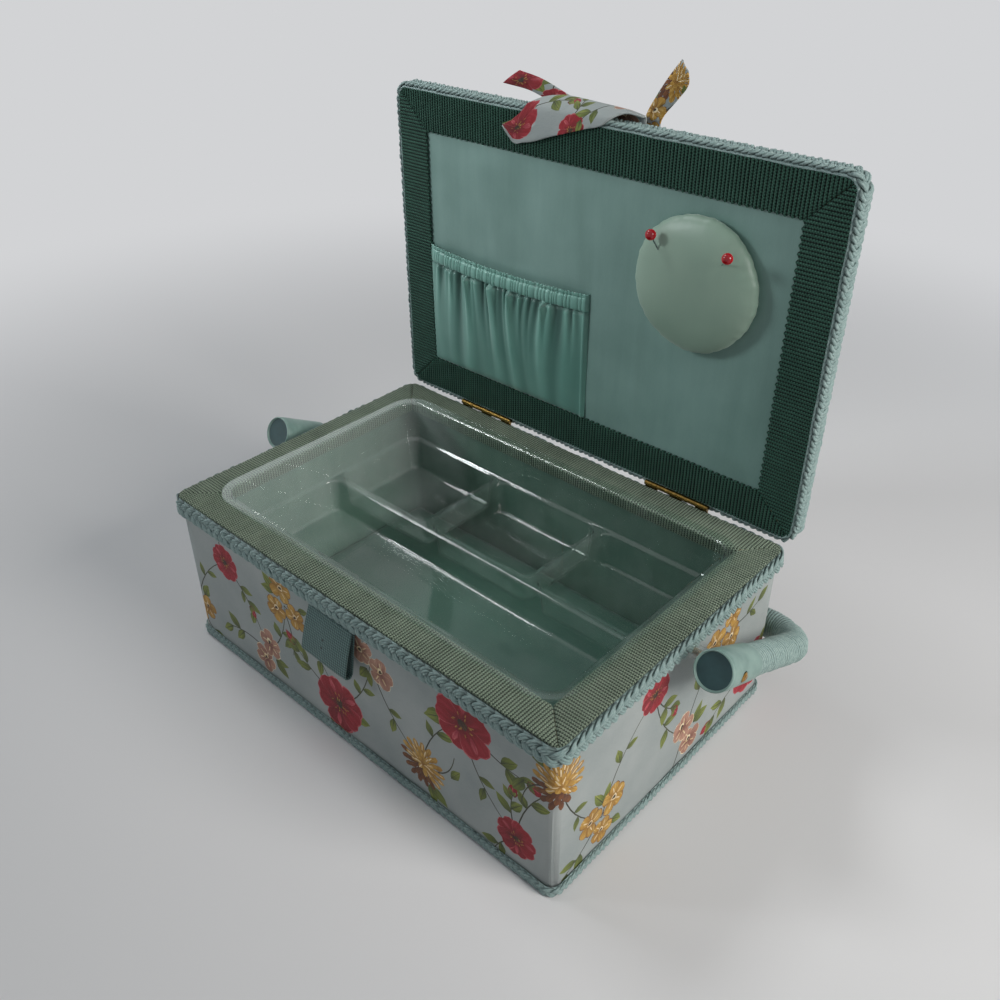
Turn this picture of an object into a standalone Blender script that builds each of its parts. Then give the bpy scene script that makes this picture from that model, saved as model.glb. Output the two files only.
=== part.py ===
"""A fabric covered sewing basket with a padded, hinged lid, a bail handle and a clear lift-out tray.

Metres, +Z up. X runs along the basket, the front with its webbing tab faces -Y, and the origin is on the
table at the centre of the basket's base. The lid stands open and the handle hangs down at the back.
"""

import math

import bmesh
import bpy
from mathutils import Matrix, Vector

MM = 0.001

# Fits and cuts
GAP = 0.3 * MM
OVERRUN = 1 * MM

# Basket body
LENGTH = 260 * MM
WIDTH = 171 * MM
RIM_HEIGHT = 93.7 * MM
CORNER_RADIUS = 5 * MM
EDGE_SETBACK = 0.5 * MM
COVER_THICKNESS = 0.8 * MM
WALL_THICKNESS = 4 * MM
LINING_THICKNESS = 1 * MM
BASE_COVER_THICKNESS = 0.6 * MM
BASE_BOARD_THICKNESS = 4 * MM
BASE_PAD_THICKNESS = 3 * MM
RIM_FRAME_DEPTH = 6 * MM
FRAME_INNER_RADIUS = 0.5 * MM

# Webbing
WEBBING_THICKNESS = 1 * MM
RIM_WEBBING_LAND = 16.5 * MM
RIM_WEBBING_DROP = 7 * MM
LID_WEBBING_WIDTH = 19.5 * MM

# Braid trims
BRAID_THICKNESS = 2.6 * MM
RIM_BRAID_DEPTH = 10 * MM
BASE_BRAID_HEIGHT = 6 * MM
BRAID_CHAMFER = 0.8 * MM

# Front tab, a folded loop of webbing
TAB_WIDTH = 31 * MM
TAB_LENGTH = 23 * MM
TAB_OFFSET = -3.6 * MM
TAB_THICKNESS = 0.9 * MM
TAB_FOLD_RADIUS = 1.3 * MM
TAB_TOP_CLEARANCE = 0.4 * MM
TAB_FLARE = math.radians(18)
TAB_BACK_FLARE = math.radians(9)

# Lid
LID_DEPTH = 172 * MM
LID_LINING_THICKNESS = 0.8 * MM
LID_LINING_MARGIN = 6 * MM
LID_BOARD_THICKNESS = 3.2 * MM
LID_EDGE_THICKNESS = 10.5 * MM
LID_CROWN = 5.5 * MM
LID_BRAID_SETBACK = 1 * MM
LID_BRAID_THICKNESS = 3.4 * MM

# Hinges
HINGE_LENGTH = 38.5 * MM
HINGE_FROM_END = 63 * MM
HINGE_KNUCKLES = 5
KNUCKLE_RADIUS = 1.5 * MM
KNUCKLE_GAP = 0.2 * MM
KNUCKLE_LIFT = 0.4 * MM
HINGE_PIN_RADIUS = 0.6 * MM
HINGE_PIN_CLEARANCE = 0.15 * MM
LEAF_THICKNESS = 0.7 * MM
LEAF_REACH = 12 * MM
HINGE_OVERHANG = 0.6 * MM

# Pocket inside the lid
POCKET_WIDTH = 113.5 * MM
POCKET_HEIGHT = 71 * MM
POCKET_THICKNESS = 0.8 * MM
POCKET_BULGE = 6.5 * MM
POCKET_FOLD_DEPTH = 1.3 * MM
POCKET_FOLDS = 9
POCKET_FOOT_SHARE = 0.08
POCKET_SWELL_SHARE = 0.62
POCKET_LEAST_FOLD_SHARE = 0.25

# Pincushion, placed from the lid's right end and front edge, and its two pins, placed from its middle
PINCUSHION_RADIUS = 32 * MM
PINCUSHION_CROWN = 11.5 * MM
PINCUSHION_FROM_END = 65.5 * MM
PINCUSHION_FROM_FRONT = 59.1 * MM
PIN_SHAFT_RADIUS = 0.35 * MM
PIN_HEAD_RADIUS = 2.6 * MM
PIN_SHOWN = 6 * MM
PIN_BURIED = 15 * MM
PIN_BORE_CLEARANCE = 0.25 * MM
PIN_ENTRIES = {"pin_1": (-17.3 * MM, 13.7 * MM), "pin_2": (15.7 * MM, 14.7 * MM)}
PIN_LEANS = {"pin_1": (-0.25, 0.86, 0.44), "pin_2": (0.56, 0.63, 0.54)}

# Down the pincushion's side: distance from its middle, and height
PINCUSHION_SHARES = (
    (0, 1), (0.25, 0.985), (0.48, 0.93), (0.68, 0.82), (0.84, 0.64), (0.945, 0.43),
    (1, 0.24), (0.985, 0.12), (0.93, 0.03), (0.88, 0), (0, 0),
)

# Bow sewn to the lid's front edge: knot and outer loop behind it, inner loop folded over it
BOW_CLOTH = 0.8 * MM
BOW_CENTRE = 22 * MM
BOW_KNOT_SIZE = (10 * MM, 9 * MM, 5.5 * MM)
BOW_KNOT_DROP = 1.6 * MM
BOW_KNOT_SOFTNESS = 1.6 * MM
BOW_LOOP_REACH = 75.6 * MM
BOW_LOOP_BEHIND = 5 * MM
BOW_LOOP_DROP = 19.2 * MM
BOW_LOOP_LIFT = 4.5 * MM
BOW_LOOP_SWELL = 1 * MM
BOW_OUTER_LOOP_LENGTH = 37 * MM
BOW_OUTER_LOOP_HEIGHT = 4 * MM
BOW_OUTER_LOOP_WIDTH = 11 * MM
BOW_OUTER_LOOP_DROOP = math.radians(30)
BOW_LEFT_TAIL_REACH = 84.5 * MM
BOW_LEFT_TAIL_RISE = 25.3 * MM
BOW_RIGHT_TAIL_REACH = 22.7 * MM
BOW_RIGHT_TAIL_RISE = 31.5 * MM
BOW_TAIL_CURL = 1.5 * MM

# Along the inner loop: place, start and end of its way over the edge, and lift off the edge
BOW_LOOP_SHARES = (
    (0, 0.0, 0.22, 0.33), (0.093, 0.0, 0.30, 0.65), (0.185, 0.0, 0.515, 0.78), (0.33, 0.03, 0.63, 0.9),
    (0.476, 0.055, 0.73, 1.0), (0.608, 0.137, 0.82, 1.0), (0.754, 0.274, 0.93, 0.55),
    (0.833, 0.545, 0.967, 0.3), (0.9, 0.666, 1.0, 0.2), (1.0, 0.77, 0.80, 0.1),
)
# Along each tail: place and height of one edge, then of the other
BOW_LEFT_TAIL_SHARES = (
    (0, 0.06, 0, 0.316), (0.195, 0.12, 0.195, 0.395), (0.41, 0.277, 0.337, 0.534),
    (0.62, 0.514, 0.515, 0.727), (0.787, 0.672, 0.70, 0.917), (1.0, 0.723, 0.87, 1.0),
)
BOW_RIGHT_TAIL_SHARES = (
    (0, 0, 0.40, 0), (0.05, 0.19, 0.44, 0.17), (0.35, 0.54, 0.77, 0.476),
    (0.65, 0.85, 1.0, 0.71), (0.81, 1.0, 0.99, 0.873),
)

# Bail handle
PIVOT_BEHIND_CENTRE = 5 * MM
PIVOT_BELOW_RIM = 10.2 * MM
HANDLE_ANGLE = math.radians(27)
HANDLE_BEND_RADIUS = 26 * MM
HANDLE_LEG_STANDOFF = 18.7 * MM
WRAP_RADIUS = 7.6 * MM
CORE_RADIUS = 5 * MM
CAP_LENGTH = 33 * MM
CAP_AHEAD_OF_PIVOT = 13 * MM
CAP_FACE_RADIUS = 9.3 * MM
CAP_END_RADIUS = 8.5 * MM
CAP_RECESS = 1.2 * MM
CAP_RIM = 0.8 * MM
CAP_SOCKET = 10 * MM
SPACER_RADIUS = 3.4 * MM
SCREW_RADIUS = 1.5 * MM
SCREW_CLEARANCE = 0.2 * MM
SCREW_HEAD_RADIUS = 2.4 * MM
SCREW_HEAD_HEIGHT = 1.4 * MM
SCREW_SEAT = 1.2 * MM

# Clear tray
TRAY_WALL = 1 * MM
TRAY_CLEARANCE = 1 * MM
TRAY_LIP = 4.5 * MM
TRAY_DEPTH = 41.5 * MM
TRAY_STEP = 22 * MM
TRAY_DRAFT = 2 * MM
TRAY_LEDGE = 1.5 * MM
TRAY_CORNER_RADIUS = 11 * MM
CELL_CORNER_RADIUS = 6 * MM
CELL_DRAFT = 2 * MM
DIVIDER_WIDTH = 5.5 * MM
DIVIDER_BEHIND_CENTRE = 3.5 * MM
BACK_CELLS = 3

# Resolution of round forms
CORNER_STEPS = 4
FINE_STEPS = 32
CAP_STEPS = 24
ROUND_STEPS = 16
SMALL_STEPS = 12
PIN_STEPS = 8
SHARP_ANGLE = math.radians(35)

# Heights and half sizes that follow
COVER_HALF = (LENGTH / 2 - EDGE_SETBACK, WIDTH / 2 - EDGE_SETBACK)
BOARD_INSET = EDGE_SETBACK + COVER_THICKNESS + GAP
LINING_INSET = BOARD_INSET + WALL_THICKNESS + GAP
BASE_BOARD_BOTTOM = BASE_COVER_THICKNESS + GAP
FLOOR_HEIGHT = BASE_BOARD_BOTTOM + BASE_BOARD_THICKNESS + GAP
FRAME_TOP = RIM_HEIGHT - WEBBING_THICKNESS - GAP
FRAME_BOTTOM = FRAME_TOP - RIM_FRAME_DEPTH
WALL_TOP = FRAME_BOTTOM - GAP
LEAF_RECESS = LEAF_THICKNESS + GAP
BRAID_TOP = FRAME_TOP - LEAF_RECESS
HINGE_Y = WIDTH / 2 + HINGE_OVERHANG
HINGE_Z = RIM_HEIGHT + KNUCKLE_RADIUS + KNUCKLE_LIFT
LID_FACE = -(KNUCKLE_RADIUS + KNUCKLE_LIFT)
LID_BACK = HINGE_OVERHANG
LID_FRONT = LID_BACK + LID_DEPTH
PINCUSHION_PLACE = (LENGTH / 2 - PINCUSHION_FROM_END, LID_FRONT - PINCUSHION_FROM_FRONT)
PIVOT = Vector((0, PIVOT_BEHIND_CENTRE, RIM_HEIGHT - PIVOT_BELOW_RIM))
LEG_X = LENGTH / 2 - EDGE_SETBACK + HANDLE_LEG_STANDOFF
HANDLE_REACH = (COVER_HALF[1] + GAP + WRAP_RADIUS - PIVOT_BEHIND_CENTRE) / math.cos(HANDLE_ANGLE)

# Colour, roughness, metallic value and transmission
FINISHES = {
    "floral_cotton": ((0.62, 0.65, 0.67), 0.85, 0.0, 0.0),
    "lid_webbing": ((0.06, 0.17, 0.14), 0.8, 0.0, 0.0),
    "rim_webbing": ((0.20, 0.27, 0.21), 0.8, 0.0, 0.0),
    "braid": ((0.25, 0.40, 0.38), 0.8, 0.0, 0.0),
    "satin": ((0.20, 0.36, 0.33), 0.45, 0.0, 0.0),
    "pocket_satin": ((0.16, 0.40, 0.35), 0.45, 0.0, 0.0),
    "cushion_satin": ((0.30, 0.42, 0.36), 0.4, 0.0, 0.0),
    "board": ((0.35, 0.28, 0.20), 0.9, 0.0, 0.0),
    "foam": ((0.80, 0.78, 0.70), 0.95, 0.0, 0.0),
    "base_cloth": ((0.05, 0.12, 0.11), 0.9, 0.0, 0.0),
    "cord_wrap": ((0.30, 0.45, 0.43), 0.8, 0.0, 0.0),
    "handle_plastic": ((0.28, 0.45, 0.40), 0.4, 0.0, 0.0),
    "clear_plastic": ((0.90, 0.95, 0.94), 0.08, 0.0, 1.0),
    "brass": ((0.70, 0.52, 0.22), 0.3, 1.0, 0.0),
    "steel": ((0.70, 0.70, 0.72), 0.25, 1.0, 0.0),
    "red_glass": ((0.55, 0.01, 0.03), 0.1, 0.0, 0.0),
}


def clear_scene():
    for item in list(bpy.data.objects):
        bpy.data.objects.remove(item, do_unlink=True)


def new_collection(name):
    collection = bpy.data.collections.new(name)
    bpy.context.scene.collection.children.link(collection)
    return collection


def new_material(name, finish):
    colour, roughness, metallic, transmission = FINISHES[finish]
    material = bpy.data.materials.new(name)
    material.use_nodes = True
    shader = material.node_tree.nodes["Principled BSDF"]
    shader.inputs["Base Color"].default_value = (*colour, 1.0)
    shader.inputs["Roughness"].default_value = roughness
    shader.inputs["Metallic"].default_value = metallic
    shader.inputs["Transmission Weight"].default_value = transmission
    return material


clear_scene()
PARTS = new_collection("sewing_basket")
CUTTERS = new_collection("cutters")


def finish(obj, material, parent=None, smooth=False):
    """Give a part its own material and its place in the part collection."""
    PARTS.objects.link(obj)
    obj.data.materials.clear()
    obj.data.materials.append(new_material(obj.name, material))
    if smooth:
        obj.data.shade_smooth()
        obj.data.set_sharp_from_angle(angle=SHARP_ANGLE)
    obj.parent = parent
    return obj


def as_cutter(obj, parent=None):
    CUTTERS.objects.link(obj)
    obj.hide_render = True
    obj.display_type = "WIRE"
    obj.parent = parent
    return obj


def pivot_empty(name, location, rotation=None, parent=None):
    """An empty on a joint's axis, which carries a moving body."""
    empty = bpy.data.objects.new(name, None)
    PARTS.objects.link(empty)
    empty.rotation_mode = "QUATERNION"
    empty.location = location
    if rotation is not None:
        empty.rotation_quaternion = rotation
    empty.parent = parent
    return empty


def mesh_object(name, bm):
    bmesh.ops.recalc_face_normals(bm, faces=bm.faces)
    mesh = bpy.data.meshes.new(name)
    bm.to_mesh(mesh)
    bm.free()
    return bpy.data.objects.new(name, mesh)


def boolean(obj, cutter, operation="DIFFERENCE"):
    modifier = obj.modifiers.new(f"{operation.lower()} {cutter.name}", "BOOLEAN")
    modifier.object = cutter
    modifier.operation = operation
    modifier.solver = "EXACT"


def rounded_outline(half_x, half_y, radius, centre=(0, 0)):
    """Points round a rectangle with rounded corners, counter-clockwise."""
    points = []
    corners = ((1, 1, 0), (-1, 1, 90), (-1, -1, 180), (1, -1, 270))
    for sign_x, sign_y, start in corners:
        for step in range(CORNER_STEPS + 1):
            angle = math.radians(start + 90 * step / CORNER_STEPS)
            x = sign_x * (half_x - radius) + radius * math.cos(angle)
            y = sign_y * (half_y - radius) + radius * math.sin(angle)
            points.append((centre[0] + x, centre[1] + y))
    return points


def loft(name, rings):
    """A closed solid through rings of equal point count, capped at both ends."""
    bm = bmesh.new()
    loops = [[bm.verts.new(point) for point in ring] for ring in rings]
    count = len(loops[0])
    for lower, upper in zip(loops, loops[1:]):
        for i in range(count):
            j = (i + 1) % count
            bm.faces.new((lower[i], lower[j], upper[j], upper[i]))
    bm.faces.new(loops[0])
    bm.faces.new(loops[-1])
    return mesh_object(name, bm)


def prism(name, outline, bottom, top):
    return loft(name, [[(x, y, z) for x, y in outline] for z in (bottom, top)])


def block(name, low, high):
    """An upright box between two corners."""
    bm = bmesh.new()
    size = Vector(high) - Vector(low)
    middle = (Vector(high) + Vector(low)) / 2
    matrix = Matrix.Translation(middle) @ Matrix.Diagonal((*size, 1))
    bmesh.ops.create_cube(bm, size=1, matrix=matrix)
    return mesh_object(name, bm)


def rod(name, radius, start, end, steps=SMALL_STEPS):
    """A cylinder between two points."""
    start, end = Vector(start), Vector(end)
    turn = (end - start).to_track_quat("Z", "Y").to_matrix().to_4x4()
    matrix = Matrix.Translation((start + end) / 2) @ turn
    bm = bmesh.new()
    bmesh.ops.create_cone(
        bm, cap_ends=True, segments=steps, radius1=radius, radius2=radius,
        depth=(end - start).length, matrix=matrix,
    )
    return mesh_object(name, bm)


def turned(name, profile, steps=ROUND_STEPS):
    """A solid turned about its Z axis from (radius, height) points, listed top to bottom."""
    mesh = bpy.data.meshes.new(name)
    points = [(radius, 0, height) for radius, height in profile]
    mesh.from_pydata(points, [(i, i + 1) for i in range(len(points) - 1)], [])
    obj = bpy.data.objects.new(name, mesh)
    screw = obj.modifiers.new("turn", "SCREW")
    screw.axis = "Z"
    screw.steps = steps
    screw.render_steps = steps
    screw.use_merge_vertices = True
    screw.merge_threshold = 1e-6
    return obj


def tube_mesh(name, points, radius, resolution=2, caps=True):
    """A round tube along points, capped or open-ended, as a welded mesh."""
    curve = bpy.data.curves.new(name, "CURVE")
    curve.dimensions = "3D"
    curve.bevel_depth = radius
    curve.bevel_resolution = resolution
    curve.use_fill_caps = caps
    spline = curve.splines.new("POLY")
    spline.points.add(len(points) - 1)
    for target, point in zip(spline.points, points):
        target.co = (*point, 1)
    holder = bpy.data.objects.new(name, curve)
    bpy.context.scene.collection.objects.link(holder)
    graph = bpy.context.evaluated_depsgraph_get()
    mesh = bpy.data.meshes.new_from_object(holder.evaluated_get(graph))
    bpy.data.objects.remove(holder, do_unlink=True)
    bm = bmesh.new()
    bm.from_mesh(mesh)
    bmesh.ops.remove_doubles(bm, verts=bm.verts, dist=GAP * GAP)
    return mesh_object(name, bm)


def sheet(name, rows, thickness, offset=0):
    """A sheet of cloth through rows of points, as an open surface with a Solidify modifier."""
    bm = bmesh.new()
    grid = [[bm.verts.new(point) for point in row] for row in rows]
    for lower, upper in zip(grid, grid[1:]):
        for i in range(len(lower) - 1):
            bm.faces.new((lower[i], lower[i + 1], upper[i + 1], upper[i]))
    obj = mesh_object(name, bm)
    solidify = obj.modifiers.new("thickness", "SOLIDIFY")
    solidify.thickness = thickness
    solidify.offset = offset
    solidify.use_even_offset = True
    return obj


def ring_band(name, half, radius, thickness, bottom, top, centre=(0, 0), chamfer=0, outer_radius=None):
    """A closed band round a rounded rectangle, from its inner half sizes outwards."""
    if outer_radius is None:
        outer_radius = radius + thickness
    outer = rounded_outline(half[0] + thickness, half[1] + thickness, outer_radius, centre)
    inner = rounded_outline(half[0], half[1], radius, centre)
    trimmed = rounded_outline(
        half[0] + thickness - chamfer, half[1] + thickness - chamfer, outer_radius - chamfer, centre
    )
    if chamfer:
        levels = [(trimmed, bottom), (outer, bottom + chamfer), (outer, top - chamfer), (trimmed, top)]
    else:
        levels = [(outer, bottom), (outer, top)]
    levels += [(inner, top), (inner, bottom)]
    bm = bmesh.new()
    loops = [[bm.verts.new((x, y, z)) for x, y in outline] for outline, z in levels]
    count = len(inner)
    for k, lower in enumerate(loops):
        upper = loops[(k + 1) % len(loops)]
        for i in range(count):
            j = (i + 1) % count
            bm.faces.new((lower[i], lower[j], upper[j], upper[i]))
    return mesh_object(name, bm)


def inset_half(inset):
    """Half sizes of the basket's plan, drawn in from the webbing's outer edge."""
    return (LENGTH / 2 - inset, WIDTH / 2 - inset)


def base_pieces():
    half = COVER_HALF
    cover = prism("base_cover", rounded_outline(*half, CORNER_RADIUS), 0, BASE_COVER_THICKNESS)
    finish(cover, "base_cloth")
    board_half = inset_half(BOARD_INSET)
    top = BASE_BOARD_BOTTOM + BASE_BOARD_THICKNESS
    board = prism("base_board", rounded_outline(*board_half, CORNER_RADIUS), BASE_BOARD_BOTTOM, top)
    finish(board, "board")
    pad_half = inset_half(LINING_INSET + LINING_THICKNESS + GAP)
    outline = rounded_outline(*pad_half, CORNER_RADIUS)
    finish(prism("base_pad", outline, FLOOR_HEIGHT, FLOOR_HEIGHT + BASE_PAD_THICKNESS), "satin")


def wall_boards(screw_hole):
    """Four wall boards: long ones at front and back, short ones between them."""
    half_x, half_y = inset_half(BOARD_INSET)
    bend = CORNER_RADIUS / 2
    for name, sign in (("front", -1), ("back", 1)):
        ys = sorted((sign * half_y, sign * (half_y - WALL_THICKNESS)))
        wall = block(f"wall_{name}", (-half_x + bend, ys[0], FLOOR_HEIGHT), (half_x - bend, ys[1], WALL_TOP))
        finish(wall, "board")
    reach = half_y - WALL_THICKNESS - GAP
    for name, sign in (("left", -1), ("right", 1)):
        xs = sorted((sign * half_x, sign * (half_x - WALL_THICKNESS)))
        wall = block(f"wall_{name}", (xs[0], -reach, FLOOR_HEIGHT), (xs[1], reach, WALL_TOP))
        boolean(finish(wall, "board"), screw_hole)


def covers_and_lining(screw_hole):
    inner_half = inset_half(EDGE_SETBACK + COVER_THICKNESS)
    cover = ring_band(
        "outer_cover", inner_half, CORNER_RADIUS - COVER_THICKNESS, COVER_THICKNESS,
        BASE_BOARD_BOTTOM, FRAME_TOP,
    )
    boolean(finish(cover, "floral_cotton"), screw_hole)
    lining_half = inset_half(LINING_INSET + LINING_THICKNESS)
    lining = ring_band("lining", lining_half, CORNER_RADIUS, LINING_THICKNESS, FLOOR_HEIGHT, WALL_TOP)
    finish(lining, "satin")


def rim_frame():
    """The flat rim that carries the webbing, recessed at the back for the hinge leaves."""
    inner_half = inset_half(RIM_WEBBING_LAND - WEBBING_THICKNESS - GAP)
    outer_half = inset_half(BOARD_INSET)
    width = outer_half[0] - inner_half[0]
    frame = ring_band(
        "rim_frame", inner_half, FRAME_INNER_RADIUS, width, FRAME_BOTTOM, FRAME_TOP,
        outer_radius=CORNER_RADIUS,
    )
    finish(frame, "board")
    for side, centre in hinge_centres():
        reach = HINGE_LENGTH / 2 + GAP
        low = (centre - reach, WIDTH / 2 - LEAF_REACH - GAP, BRAID_TOP)
        high = (centre + reach, WIDTH / 2 + OVERRUN, FRAME_TOP + OVERRUN)
        recess = as_cutter(block(f"leaf_recess_{side}", low, high))
        boolean(frame, recess)
        boolean(bpy.data.objects["outer_cover"], recess)


def rim_webbing():
    """Four mitred strips that lie on the rim and turn down inside it."""
    outer = (LENGTH / 2, WIDTH / 2)
    inner = inset_half(RIM_WEBBING_LAND)
    drop = RIM_HEIGHT - RIM_WEBBING_DROP
    for name, quarter in (("front", 0), ("right", 1), ("back", 2), ("left", 3)):
        along, across = (0, 1) if quarter % 2 == 0 else (1, 0)
        rows = []
        for half, height in ((outer, RIM_HEIGHT), (inner, RIM_HEIGHT), (inner, drop)):
            ends = [-half[along] + GAP, half[along] - GAP]
            rows.append([(end, -half[across], height) for end in ends])
        strip = sheet(f"rim_webbing_{name}", rows, WEBBING_THICKNESS, offset=-1)
        strip.modifiers["thickness"].solidify_mode = "NON_MANIFOLD"
        strip.modifiers["thickness"].nonmanifold_thickness_mode = "CONSTRAINTS"
        strip.rotation_euler = (0, 0, quarter * math.pi / 2)
        finish(strip, "rim_webbing")


def braids(spacer_notch):
    for name, bottom, top in (
        ("rim_braid", BRAID_TOP - RIM_BRAID_DEPTH, BRAID_TOP),
        ("base_braid", 0, BASE_BRAID_HEIGHT),
    ):
        half = inset_half(EDGE_SETBACK - GAP)
        braid = ring_band(
            name, half, CORNER_RADIUS + GAP, BRAID_THICKNESS, bottom, top, chamfer=BRAID_CHAMFER
        )
        finish(braid, "braid")
    boolean(bpy.data.objects["rim_braid"], spacer_notch)


def front_tab():
    """A loop of webbing that hangs from under the rim braid, folded at its foot and flared outwards."""
    top = BRAID_TOP - RIM_BRAID_DEPTH - TAB_TOP_CLEARANCE
    face = -(WIDTH / 2 - EDGE_SETBACK)
    back_y = face - GAP - TAB_THICKNESS / 2
    front_y = back_y - TAB_THICKNESS - GAP
    straight = TAB_LENGTH - TAB_FOLD_RADIUS
    back_foot = (back_y - straight * math.sin(TAB_BACK_FLARE), top - straight * math.cos(TAB_BACK_FLARE))
    front_foot = (front_y - straight * math.sin(TAB_FLARE), top - straight * math.cos(TAB_FLARE))
    fold = [(back_y, top), back_foot]
    middle = ((back_foot[0] + front_foot[0]) / 2, (back_foot[1] + front_foot[1]) / 2)
    half_span = (back_foot[0] - front_foot[0]) / 2
    for step in range(1, CORNER_STEPS):
        angle = math.pi * step / CORNER_STEPS
        fold.append((middle[0] + half_span * math.cos(angle), middle[1] - TAB_FOLD_RADIUS * math.sin(angle)))
    fold += [front_foot, (front_y, top)]
    ends = (TAB_OFFSET - TAB_WIDTH / 2, TAB_OFFSET + TAB_WIDTH / 2)
    rows = [[(x, y, z) for x in ends] for y, z in fold]
    finish(sheet("front_tab", rows, TAB_THICKNESS), "lid_webbing")


def hinge_centres():
    place = LENGTH / 2 - HINGE_FROM_END
    return (("left", -place), ("right", place))


def hinge_leaf(name, centre, own_knuckles, parent, edge, axis, sign, plate_top):
    """A leaf with its knuckles. sign is the way from the hinge line to the leaf, along the parent's Y."""
    half = HINGE_LENGTH / 2
    pitch = HINGE_LENGTH / HINGE_KNUCKLES
    riser_near = edge - sign * GAP
    riser_far = riser_near - sign * LEAF_THICKNESS
    ys = sorted((edge + sign * LEAF_REACH, riser_far))
    leaf = block(name, (centre - half, ys[0], plate_top - LEAF_THICKNESS), (centre + half, ys[1], plate_top))
    finish(leaf, "brass", parent)
    riser_ys = sorted((riser_near, riser_far))
    for k in own_knuckles:
        start = centre - half + k * pitch + KNUCKLE_GAP / 2
        end = start + pitch - KNUCKLE_GAP
        riser = block(
            f"{name}_riser_{k}",
            (start, riser_ys[0], plate_top - LEAF_THICKNESS / 2),
            (end, riser_ys[1], axis[1]),
        )
        knuckle = rod(f"{name}_knuckle_{k}", KNUCKLE_RADIUS, (start, *axis), (end, *axis))
        for piece in (riser, knuckle):
            boolean(leaf, as_cutter(piece, parent), "UNION")
    reach = half + OVERRUN
    bore_radius = HINGE_PIN_RADIUS + HINGE_PIN_CLEARANCE
    bore = rod(f"{name}_bore", bore_radius, (centre - reach, *axis), (centre + reach, *axis))
    boolean(leaf, as_cutter(bore, parent))


def hinges(lid):
    for side, centre in hinge_centres():
        hinge_leaf(
            f"basket_hinge_leaf_{side}", centre, range(0, HINGE_KNUCKLES, 2), None,
            WIDTH / 2, (HINGE_Y, HINGE_Z), -1, FRAME_TOP,
        )
        hinge_leaf(
            f"lid_hinge_leaf_{side}", centre, range(1, HINGE_KNUCKLES, 2), lid,
            LID_BACK, (0, 0), 1, LID_FACE - WEBBING_THICKNESS - GAP,
        )
        ends = [(centre + sign * HINGE_LENGTH / 2, HINGE_Y, HINGE_Z) for sign in (-1, 1)]
        finish(rod(f"hinge_pin_{side}", HINGE_PIN_RADIUS, *ends), "brass")


def lid_centre():
    return (0, (LID_BACK + LID_FRONT) / 2)


def lid_half(inset):
    return (LENGTH / 2 - inset, LID_DEPTH / 2 - inset)


def dome_height(share_x, share_y, crown):
    """How far the padding swells at a place on the lid, from -1 to 1 each way."""
    return crown * (1 - abs(share_x) ** 3) * (1 - abs(share_y) ** 3)


def round_corner(x, y, half, radius):
    """Move a place near a rectangle's corner so that the square corner lands on a round one."""
    over_x = abs(x) - (half[0] - radius)
    over_y = abs(y) - (half[1] - radius)
    if over_x <= 0 or over_y <= 0:
        return x, y
    share = max(over_x, over_y) / math.hypot(over_x, over_y)
    return (
        math.copysign(half[0] - radius + over_x * share, x),
        math.copysign(half[1] - radius + over_y * share, y),
    )


def dome_grid(bm, half, edge_height, crown, columns=14, rows=10):
    """A padded sheet over the lid, crown downwards in the lid's axes, its corners drawn in."""
    centre_y = lid_centre()[1]
    grid = []
    for row in range(rows + 1):
        share_y = math.sin(math.pi * (row / rows - 0.5))
        line = []
        for column in range(columns + 1):
            share_x = math.sin(math.pi * (column / columns - 0.5))
            x, y = round_corner(half[0] * share_x, half[1] * share_y, half, CORNER_RADIUS)
            height = edge_height - dome_height(share_x, share_y, crown)
            line.append(bm.verts.new((x, centre_y + y, height)))
        grid.append(line)
    for lower, upper in zip(grid, grid[1:]):
        for i in range(columns):
            bm.faces.new((lower[i], lower[i + 1], upper[i + 1], upper[i]))


def raise_border(bm, height):
    """Extend the open border of a sheet straight up to a height."""
    border = [edge for edge in bm.edges if edge.is_boundary]
    result = bmesh.ops.extrude_edge_only(bm, edges=border)
    for item in result["geom"]:
        if isinstance(item, bmesh.types.BMVert):
            item.co.z = height
    return [item for item in result["geom"] if isinstance(item, bmesh.types.BMEdge)]


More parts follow.
